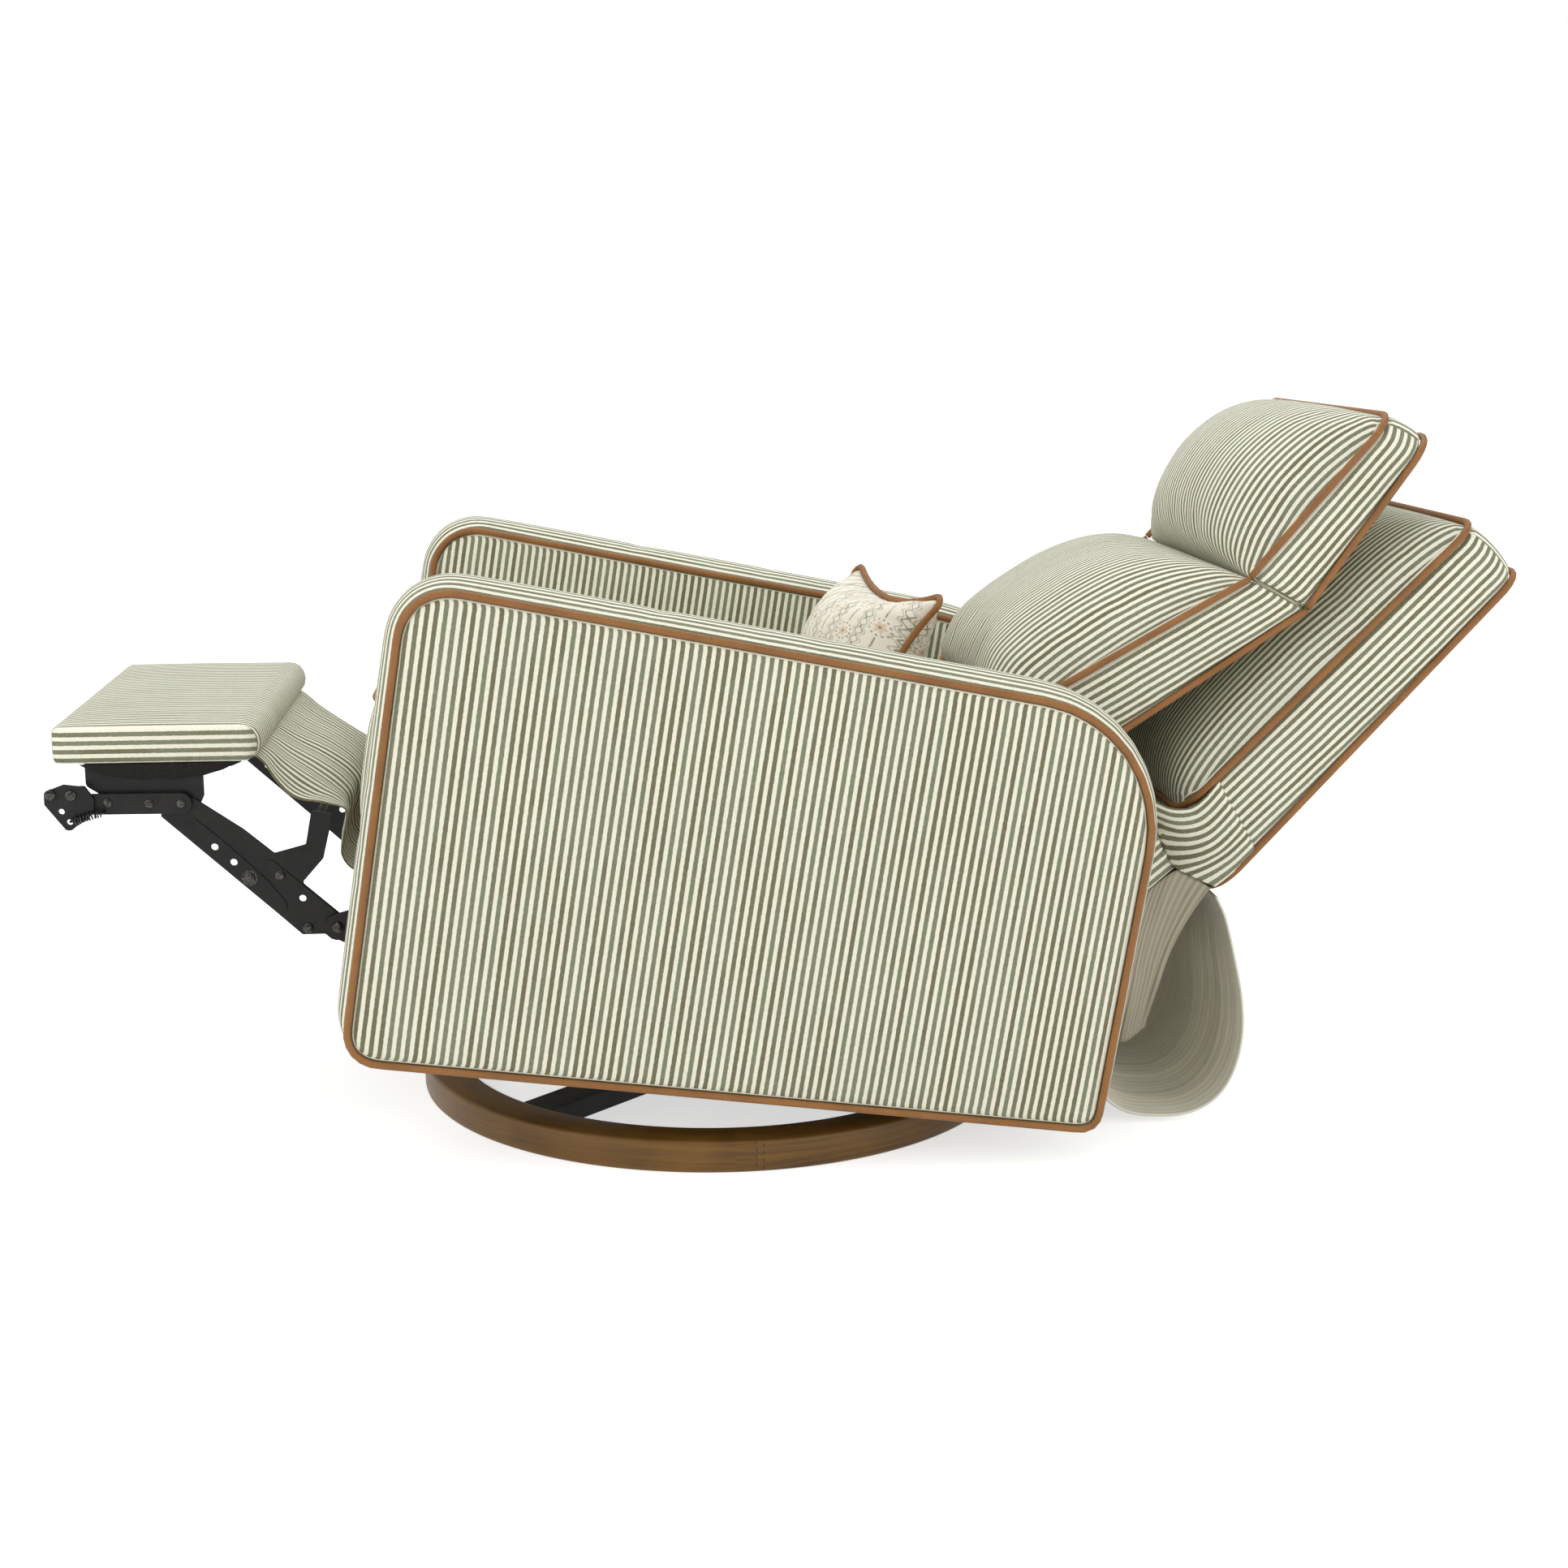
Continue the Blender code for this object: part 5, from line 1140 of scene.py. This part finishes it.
def valances():
    """The gathered side of the loose cover, which hides the hinge and narrows downwards into the loop."""
    wide, high = 36, 30
    edges = list(zip(spaced(VALANCE_TOP, 8, wide), spaced(VALANCE_TIP, 8, wide)))
    for side, hand in SIDES:
        def cover(upper, lower, s, t):
            spot = upper.lerp(lower, t)
            spot.x -= (0.017 * s + 0.004 * (1 - s)) * sin(pi * t) ** 0.8
            x = VALANCE_X + 0.005 * (1 - s) * min(1.0, t / 0.25) - 0.034 * max(0.0, (t - 0.6) / 0.4) ** 1.6
            x += 0.0034 * uneven(s * 13, t * 1.5, 80.0 + side) * min(1.0, 0.3 + t)
            x += 0.003 * peak(s, 0.45, 0.22) * sin(pi * min(1.0, t * 1.2) / 2)
            return Vector((side * x, *spot))

        rows = [[cover(*ends, i / wide, j / high) for i, ends in enumerate(edges)] for j in range(high + 1)]
        lengths = running([row[wide // 2] for row in rows])
        # The sides take the darker cloth: painted shade inside the gathers.
        hinge_cloth("rear_cover_side_" + hand, rows, lambda j, i: (VALANCE_WIDTH * i / wide, lengths[j]),
                    side, PAINTED_SHADE_CLOTH)


DECK_ROUTE = ((0.129, 0.375), (0.14, 0.368), (0.185, 0.372), (0.235, 0.395), (0.29, 0.43), (0.335, 0.462),
              (0.372, 0.49))
DECK_HALF = 0.279
DECK_BLEND = ((0.0, 0.15, 0.375), (0.0, 0.372, 0.49))


def deck():
    """The deck cloth that closes the gap between the seat cushion and the back cushion."""
    route = curve_through(DECK_ROUTE, 6)
    lengths = running(route)

    def spot(j, s):
        fold = 0.004 * uneven(s * 5, lengths[j] * 14, 51.0)
        return SEAT_FRAME @ Vector((DECK_HALF * s, route[j].x, route[j].y + fold))

    piece = hung("deck_cloth", spread(len(route), 60, spot), DECK_HALF, lengths, STRIPED_THICK, FABRIC)
    across_hinge(piece, DECK_BLEND)


def dust_cover():
    """Black cloth stapled under the board: it sags in the middle and hangs in a hem outside the brackets."""
    counts = (34, 20)
    half, low, high = 0.2235, -0.2, -0.022
    middle, size = (0.0, (low + high) / 2), (half - 0.006, (high - low) / 2 - 0.006)

    def rim(offset):
        corners = rectangle(half + offset, low - offset, high + offset)
        return loop(corners, [0.022 + max(offset, -0.015)] * 4, counts)

    def place(u, v, forward):
        return FOOT_FRAME @ Vector((u, v + FOOT_PIVOT_BACK, FOOT_PIVOT_DROP - 0.0004 - forward))

    def face(u, v):
        return 0.0075 + 0.0095 * swell(u, v, middle, size, (6, 2)) + 0.0016 * ripple(u, v, 61.0, 1.6)

    rows = [(-0.004, lambda v: 0.0062), (-0.0012, lambda v: 0.0035), (0.0, lambda v: 0.0006)]
    piece = boxed("dust_cloth_sag", rim, counts, place, rows, ((-0.009, face), (-0.001, flat)),
                  lambda spot, s, d, run, level: (spot.x, spot.y), DUST, False)
    piece.data.flip_normals()
    pad(piece, "footrest", 0.3, "dust_cloth", "footrest_dust_cover")
    for side, hand in SIDES:
        dust_hem(side, hand)


def dust_hem(side, hand):
    """The rolled hem at one side of the black cloth: flat at its ends and hanging between them."""
    verts = []
    steps, sides = 40, 12
    start, length, middle, half = -0.196, 0.168, 0.23145, 0.0018
    for k in range(steps + 1):
        t = k / steps
        y = start + length * t
        sag = 0.0175 * (1 - abs(2 * t - 1) ** 3.0) + 0.0015 * uneven(t * 9, side, 70.0) + 0.0006
        for across, up in circle(sides):
            x = middle + half * across * (0.35 + 0.65 * (1 - abs(2 * t - 1) ** 6))
            w = -0.0006 - sag * (0.5 - 0.5 * up)
            verts.append(FOOT_FRAME @ Vector((side * x, y + FOOT_PIVOT_BACK, w + FOOT_PIVOT_DROP)))
    faces = bands(steps + 1, sides)
    faces += [tuple(range(sides))[::-1], tuple(range(steps * sides, (steps + 1) * sides))]
    if side < 0:
        faces = [face[::-1] for face in faces]
    corners = [(0.0, 0.0) for face in faces for _ in face]
    dress(finish_mesh("dust_cloth_hem_" + hand, verts, faces, corners, DUST), "footrest")


def plate(name, outline, holes, x, side, frame_of, corner):
    """A flat steel plate with round holes and eased edges, cut in the plane of the linkage."""
    ease = 0.0004
    spots = [Vector(spot) for spot in outline]
    rings = [[point for k in range(len(spots))
              for point in corner_arc(spots[k - 1], spots[k], spots[(k + 1) % len(spots)], corner, 4)]]
    rings += [[Vector(centre) + Vector(spot) * radius for spot in circle(20)] for centre, radius in holes]
    cut = bpy.data.curves.new(name, "CURVE")
    cut.dimensions = "2D"
    cut.fill_mode = "BOTH"
    cut.extrude = (x[1] - x[0]) / 2 - ease
    cut.bevel_depth = ease
    cut.bevel_resolution = 1
    cut.offset = -ease
    for ring in rings:
        spline = cut.splines.new("POLY")
        spline.points.add(len(ring) - 1)
        for point, spot in zip(spline.points, ring):
            point.co = (*spot, 0.0, 1.0)
        spline.use_cyclic_u = True
    blank = bpy.data.objects.new(name + "_cut", cut)
    bpy.context.scene.collection.objects.link(blank)
    graph = bpy.context.evaluated_depsgraph_get()
    data = bpy.data.meshes.new_from_object(blank.evaluated_get(graph))
    bpy.data.objects.remove(blank)
    bpy.data.curves.remove(cut)
    middle = (x[0] + x[1]) / 2
    verts = [frame_of @ Vector((side * (middle + vert.co.z), vert.co.x, vert.co.y)) for vert in data.vertices]
    faces = [tuple(face.vertices) if side > 0 else tuple(face.vertices)[::-1] for face in data.polygons]
    corners = [tuple(data.vertices[k].co.xy) for face in faces for k in face]
    bpy.data.meshes.remove(data)
    return finish_mesh(name, verts, faces, corners, STEEL)


# The long link's plate and the flange and bar that double its ends, in shares of its length
LINK_OUTLINE = ((-0.086, -0.055), (0.282, -0.061), (0.282, -0.227), (0.391, -0.436), (0.486, -0.382),
                (0.395, -0.227), (0.486, -0.091), (0.682, -0.089), (0.964, -0.057), (1.073, 0.018),
                (1.036, 0.123), (0.273, 0.144), (0.109, 0.15), (0.027, 0.077), (-0.091, 0.045))
LINK_FLANGE = ((0.905, 0.022), (0.905, 0.1), (0.862, 0.12), (0.6, 0.121), (0.262, 0.137), (0.25, 0.095),
               (0.28, 0.07), (0.42, 0.04), (0.56, 0.03), (0.728, 0.022))
LINK_BAR = ((-0.08, -0.05), (0.1, -0.054), (0.3, -0.056), (0.47, -0.058), (0.492, -0.035),
            (0.462, 0.026), (0.3, 0.034), (0.15, 0.052), (0.045, 0.052), (-0.084, 0.04))
LINK_HOLES = ((0.732, 0.075), (0.61, 0.076), (0.229, 0.001))
LINK_LENGTH = 0.22
LINK_X, DOUBLER_X = (0.2294, 0.2321), (0.232, 0.2334)
HOLE_RADIUS, PIVOT_RADIUS = 0.004, 0.0041
SPRING_FROM, SPRING_TO = Vector((-0.115, -0.016)), Vector((-0.085, -0.0078))
SPRING_X, COIL_RADIUS, SPRING_WIRE = 0.247, 0.0036, 0.0007
SPRING_HOOK = ((0.242, -0.16), (0.2455, -0.13), (0.248, -0.05))
SPRING_TAIL = ((0.248, 0.05), (0.244, 0.1), (0.2385, 0.1))


def linkage(long_frame):
    """The long links in two thicknesses, and the return spring of each side."""
    holes = [((u * LINK_LENGTH, w * LINK_LENGTH), HOLE_RADIUS) for u, w in LINK_HOLES]
    pivot = [((LINK_LENGTH, 0.0), PIVOT_RADIUS)]
    run = SPRING_TO - SPRING_FROM
    across = Vector((-run.y, run.x)).normalized()
    turns, steps = 10, 14
    for side, hand in SIDES:
        for kind, outline, cut, x, corner in (("plate", LINK_OUTLINE, holes + pivot, LINK_X, 0.003),
                                              ("flange", LINK_FLANGE, holes[:2], DOUBLER_X, 0.0015),
                                              ("bar", LINK_BAR, holes[2:], DOUBLER_X, 0.0025)):
            outline = [(u * LINK_LENGTH, w * LINK_LENGTH) for u, w in outline]
            piece = plate("link_%s_%s" % (kind, hand), outline, cut, x, side, long_frame, corner)
            dress(piece, "footrest_long", "footrest_link_long_" + hand)
        points = [(x, SPRING_FROM + run * share) for x, share in SPRING_HOOK]
        for k in range(turns * steps + 1):
            angle = 2 * pi * k / steps
            centre = SPRING_FROM + run * (k / (turns * steps)) + across * COIL_RADIUS * sin(angle)
            points.append((SPRING_X + COIL_RADIUS * cos(angle), centre))
        points += [(x, SPRING_TO + run * share) for x, share in SPRING_TAIL]
        points = [FOOT_FRAME @ Vector((side * x, *spot)) for x, spot in points]
        dress(tube("return_spring_" + hand, points, SPRING_WIRE, RIVET, False, 6), "footrest")


# Rivets on the long link (in shares of its length), on the footrest's bar and plate and on the swing link:
# place, distance from the middle, radius and height
LONG_RIVETS = (("long_a", (0.392, -0.02), 0.2334, 0.0058, 0.0026),
               ("long_b", (0.11, 0.106), 0.2321, 0.0062, 0.003),
               ("boss_washer", (0.498, 0.087), 0.2334, 0.0094, 0.0011),
               ("boss", (0.498, 0.087), 0.2344, 0.0066, 0.0026),
               ("elbow", (0.0, 0.0), 0.2391, 0.0062, 0.0024))
FOOT_RIVETS = (("foot", (0.0, 0.0), 0.2375, 0.005, 0.0022),
               ("bar_middle", (-0.0345, 0.0004), 0.2377, 0.005, 0.002),
               ("bar_front", (-0.079, 0.002), 0.2377, 0.005, 0.002))
SWING_RIVET = ("swing", (-0.292, 0.269), 0.2418, 0.0042, 0.0004)
PLATE_RIVETS = (("front", (1.004, 0.142)), ("rear", (0.907, 0.146)))
PLATE_RIVET_SIZES = (0.2433, 0.006, 0.002)
PLATE_UNIT = 0.226
LINK_RISE = radians(32.4)
BUTTON_FRONT, BUTTON_STEP, BUTTON_X, BUTTON_Z = -0.3, 0.025, 0.2812, 0.54
BUTTON_RADIUS, BUTTON_HEIGHT = 0.0064, 0.0014
PINS = ((-0.005, 0.3602, 0.2096), (0.005, 0.3602, 0.2096))
PIN_RADIUS, PIN_LENGTH = 0.0012, 0.011


def fittings():
    """Rivet heads on the linkage, caps on the buttons and pins in the inlet."""
    elbow = (FOOT_PIVOT[0] + cos(LINK_RISE) * LINK_LENGTH, FOOT_PIVOT[1] - sin(LINK_RISE) * LINK_LENGTH)
    long_frame = SEAT_FRAME @ moved(*elbow) @ pitched(pi - LINK_RISE)
    linkage(long_frame)
    places = [(long_frame, "footrest_long", name, (u * LINK_LENGTH, w * LINK_LENGTH), *sizes)
              for name, (u, w), *sizes in LONG_RIVETS]
    places += [(FOOT_FRAME, "footrest", *rivet) for rivet in FOOT_RIVETS]
    places.append((SEAT_FRAME, "footrest_swing", *SWING_RIVET))
    for name, (u, w) in PLATE_RIVETS:
        spot = (FOOT_PIVOT_BACK - u * PLATE_UNIT, FOOT_PIVOT_DROP - w * PLATE_UNIT)
        places.append((FOOT_FRAME, "footrest", "plate_" + name, spot, *PLATE_RIVET_SIZES))
    for frame_of, body, name, spot, x, radius, height in places:
        for side, hand in SIDES:
            centre = frame_of @ Vector((side * x, *spot))
            piece = dome("rivet_%s_%s" % (name, hand), centre, (side, 0.0, 0.0), radius, height, RIVET)
            dress(piece, body)
    for k in range(4):
        centre = SEAT_FRAME @ Vector((BUTTON_X, BUTTON_FRONT + BUTTON_STEP * (k + 0.5), BUTTON_Z))
        piece = dome("button_cap_%d" % (k + 1), centre, (-1.0, 0.0, 0.0), BUTTON_RADIUS, BUTTON_HEIGHT,
                     PLASTIC, 4, 20, 0.2)
        dress(piece, "button_%d" % (k + 1))
    for k, spot in enumerate(PINS):
        centre = SEAT_FRAME @ Vector(spot)
        piece = dome("inlet_pin_%d" % (k + 1), centre, (0.0, 1.0, 0.0), PIN_RADIUS, PIN_LENGTH, RIVET,
                     3, 10, 0.9)
        dress(piece, "seat")


def pillow():
    """A knife-edge pillow whose sides draw in between its corners."""
    half_wide, half_high, thick, edge = 0.132, 0.088, 0.064, 0.0004
    counts = (40, 28)
    wide, high = counts

    def rim(offset):
        corners = rectangle(half_wide + offset, -half_high - offset, half_high + offset)
        return loop(corners, (0.012 + offset,) * 4, counts, 0.024)

    rows = patch(rim(-PIPING_RADIUS), counts)
    spots = [spot for row in rows for spot in row]
    verts, faces, corners = [], [], []
    for seed, sign in ((30.0, -1), (31.0, 1)):
        points = []
        for j, row in enumerate(rows):
            for i, spot in enumerate(row):
                s, t = 2 * i / wide - 1, 2 * j / high - 1
                rise = (max(0.0, 1 - s * s) * max(0.0, 1 - t * t)) ** 0.56
                pucker = 0.0015 * ripple(spot.x, spot.y, seed, 2.2) * min(1.0, rise * 3)
                points.append(PILLOW_FRAME @ Vector((spot.x, sign * (edge + thick * rise + pucker), spot.y)))
        panel((verts, faces, corners), points, spots, counts)
    total = len(spots)
    order = rim_index(counts)
    for k, here in enumerate(order):
        after = order[(k + 1) % len(order)]
        faces.append((here, here + total, after + total, after))
        corners += [tuple(verts[n].xz) for n in (here, here, after, after)]
    piece = finish_mesh("lumbar_pillow_cover", verts, faces, corners, PRINT)
    SEAMS["lumbar_pillow_cover"] = order + [k + total for k in order]
    pad(piece, "pillow", 0.7, "printed_linen", "lumbar_pillow", 4.0, 0.005, 0.02)
    points = [PILLOW_FRAME @ Vector((u, 0.0, v)) for u, v in rim(0.0)]
    welt("lumbar_pillow_welt", points, "pillow", "lumbar_pillow_piping")


def ring():
    outer, width, height, ease = 0.362, 0.048, 0.037, 0.004
    inner = outer - width
    profile = []
    for cy, cz, start in ((outer - ease, ease, -90), (outer - ease, height - ease, 0),
                          (inner + ease, height - ease, 90), (inner + ease, ease, 180)):
        for step in range(4):
            angle = radians(start + 30 * step)
            profile.append((cy + ease * cos(angle), cz + ease * sin(angle)))
    count, steps = len(profile), 192
    verts = [(r * x, SWIVEL_Y + r * y, z) for x, y in circle(steps) for r, z in profile]
    around = [0.0]
    for k in range(count):
        a, b = profile[k], profile[(k + 1) % count]
        around.append(around[-1] + hypot(b[0] - a[0], b[1] - a[1]))
    faces = [(a, d, c, b) for a, b, c, d in bands(steps, count, True)]
    corners = []
    for k in range(steps):
        arc = (2 * pi * outer * k / steps, 2 * pi * outer * (k + 1) / steps)
        for m in range(count):
            corners += [(arc[0], around[m]), (arc[1], around[m]), (arc[1], around[m + 1]),
                        (arc[0], around[m + 1])]
    dress(finish_mesh("base_ring_wood", verts, faces, corners, WALNUT), "base", "base_ring")


CLOTH_SETTINGS = {"quality": 5, "mass": 0.3, "tension_stiffness": 15.0, "compression_stiffness": 15.0,
                  "shear_stiffness": 8.0, "bending_stiffness": 0.6, "use_pressure": True,
                  "vertex_group_mass": "seam"}
CLOTH_FRAMES = 20


def simulate():
    """Blow up every padded piece at once against its pinned seams, then keep it close to its form."""
    scene = bpy.context.scene
    for piece, pressure, cap, slack in SIMULATED:
        group = piece.vertex_groups.new(name="seam")
        group.add(SEAMS[piece.name], 1.0, "REPLACE")
        cloth = piece.modifiers.new("cloth", "CLOTH")
        for key, value in CLOTH_SETTINGS.items():
            setattr(cloth.settings, key, value)
        cloth.settings.uniform_pressure_force = pressure
        cloth.settings.shrink_min = -slack
        cloth.settings.shrink_max = -slack
        cloth.settings.effector_weights.gravity = 0.0
        cloth.collision_settings.use_collision = False
        cloth.collision_settings.use_self_collision = False
        cloth.point_cache.frame_start = 1
        cloth.point_cache.frame_end = CLOTH_FRAMES
    for step in range(1, CLOTH_FRAMES + 1):
        scene.frame_set(step)
    graph = bpy.context.evaluated_depsgraph_get()
    for piece, pressure, cap, slack in SIMULATED:
        blown = [vert.co.copy() for vert in piece.evaluated_get(graph).data.vertices]
        for vert, place in zip(piece.data.vertices, blown):
            step = place - vert.co
            if step.length > 1e-9:
                vert.co += step * (cap * (1 - fading(step.length, cap)) / step.length)
        piece.modifiers.remove(piece.modifiers["cloth"])
        piece.vertex_groups.clear()
    scene.frame_set(1)
    for piece, *_ in SIMULATED:
        finer = piece.modifiers.new("finer", "SUBSURF")
        finer.levels = 1
        finer.render_levels = 1


def dress_nodes():
    """Give every CAD piece that still shows its finish."""
    finishes = {"footrest_board": WOOD, "control_pad": PLASTIC, "drive_motor": MOTOR, "power_inlet": PLASTIC}
    for name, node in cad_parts.items():
        finish = finishes.get(name, STEEL)
        if name.startswith("seat_") and "_rail" in name:
            finish = WOOD
        elif name.startswith("control_button"):
            finish = PLASTIC
        for place in node.material_slots:
            place.material = finish


CAMERA_PITCH, CAMERA_YAW = radians(11.78), radians(5.34)
CAMERA_AT = (2.749, -0.25, 0.94)
FOCAL_PIXELS, PICTURE_PIXELS, SENSOR = 2813.9, 1932.0, 36.0
WHITE = (1.0, 1.0, 1.0, 1.0)
# Place, target, size and watts of each lamp
LAMPS = {"key": ((1.9, -2.2, 2.9), (0.0, 0.0, 0.4), 2.4, 31.0),
         "fill": ((2.6, 1.6, 1.5), (0.0, 0.1, 0.4), 2.4, 5.0),
         "top": ((-1.0, 0.4, 3.2), (0.0, 0.1, 0.4), 2.6, 35.0),
         "front": ((1.5, -2.6, 0.55), (0.0, -0.55, 0.35), 1.2, 9.0),
         "rear": ((1.9, 2.3, 0.6), (0.0, 0.45, 0.22), 1.4, 14.0)}
TOP_COLOUR = (0.89, 0.955, 1.0)
WORLD_LIGHT = 0.71
FLOOR_REACH, FLOOR_GLOW = 30.0, 0.62


def camera():
    """The camera of the photograph."""
    pitch, yaw = CAMERA_PITCH, CAMERA_YAW
    forward = Vector((-cos(yaw) * cos(pitch), sin(yaw) * cos(pitch), -sin(pitch)))
    right = Vector((sin(yaw), cos(yaw), 0.0))
    up = right.cross(forward)
    made = bpy.data.objects.new("camera", bpy.data.cameras.new("camera"))
    made.matrix_world = Matrix([(right[k], up[k], -forward[k], CAMERA_AT[k]) for k in range(3)]
                               + [(0.0, 0.0, 0.0, 1.0)])
    made.data.sensor_width = SENSOR
    made.data.lens = SENSOR * FOCAL_PIXELS / PICTURE_PIXELS
    made.data.clip_end = 100.0
    bpy.context.scene.collection.objects.link(made)
    bpy.context.scene.camera = made


def backdrop():
    """A world that lights the object at a plain level and that the camera sees as white."""
    world = bpy.data.worlds.new("studio")
    bpy.context.scene.world = world
    world.use_nodes = True
    tree = world.node_tree
    light = tree.nodes.new("ShaderNodeLightPath")
    shown = tree.nodes.new("ShaderNodeMath")
    shown.operation = "MAXIMUM"
    tree.links.new(light.outputs["Is Camera Ray"], shown.inputs[0])
    tree.links.new(light.outputs["Is Transmission Ray"], shown.inputs[1])
    strength = tree.nodes.new("ShaderNodeMapRange")
    strength.inputs["To Min"].default_value = WORLD_LIGHT
    strength.inputs["To Max"].default_value = 1.0
    tree.links.new(shown.outputs[0], strength.inputs["Value"])
    tree.nodes["Background"].inputs[0].default_value = WHITE
    tree.links.new(strength.outputs[0], tree.nodes["Background"].inputs[1])


def floor():
    """White paper that keeps the object's shadow."""
    data = bpy.data.meshes.new("floor")
    corners = rectangle(FLOOR_REACH, -FLOOR_REACH, FLOOR_REACH)
    data.from_pydata([(u, v, 0) for u, v in corners], [], [(0, 1, 2, 3)])
    made = bpy.data.objects.new("floor", data)
    bpy.context.scene.collection.objects.link(made)
    g = Graph("floor_paper", 0.9, specular_ior_level=0.1)
    g.shader.inputs["Base Color"].default_value = (0.8, 0.8, 0.79, 1.0)
    path = g.tree.nodes.new("ShaderNodeLightPath")
    seen = g.math("MAXIMUM", *[Wire(g, path.outputs[kind]) for kind in ("Is Camera Ray", "Is Glossy Ray")])
    glow = g.node("Emission", WHITE, seen * FLOOR_GLOW)[0]
    both = g.node("AddShader", Wire(g, g.shader.outputs[0]), glow)[0]
    g.feed(g.tree.nodes["Material Output"].inputs[0], both)
    data.materials.append(g.material)


def studio():
    """A white floor and world, five wide soft lamps, and the camera of the photograph."""
    scene = bpy.context.scene
    camera()
    backdrop()
    for name, (place, target, size, watts) in LAMPS.items():
        data = bpy.data.lights.new(name, "AREA")
        data.color = TOP_COLOUR if name == "top" else WHITE[:3]
        data.size = size
        data.energy = watts
        lamp = bpy.data.objects.new(name, data)
        lamp.location = place
        lamp.rotation_euler = (Vector(target) - Vector(place)).to_track_quat("-Z", "Y").to_euler()
        scene.collection.objects.link(lamp)
    floor()
    scene.view_settings.view_transform = "Standard"


studio()
arms()
seat_cushion()
back_shell()
back_cushion()
headrest()
footrest()
drape()
flap()
side_skirts()
valances()
deck()
dust_cover()
fittings()
pillow()
ring()
dress_nodes()
simulate()
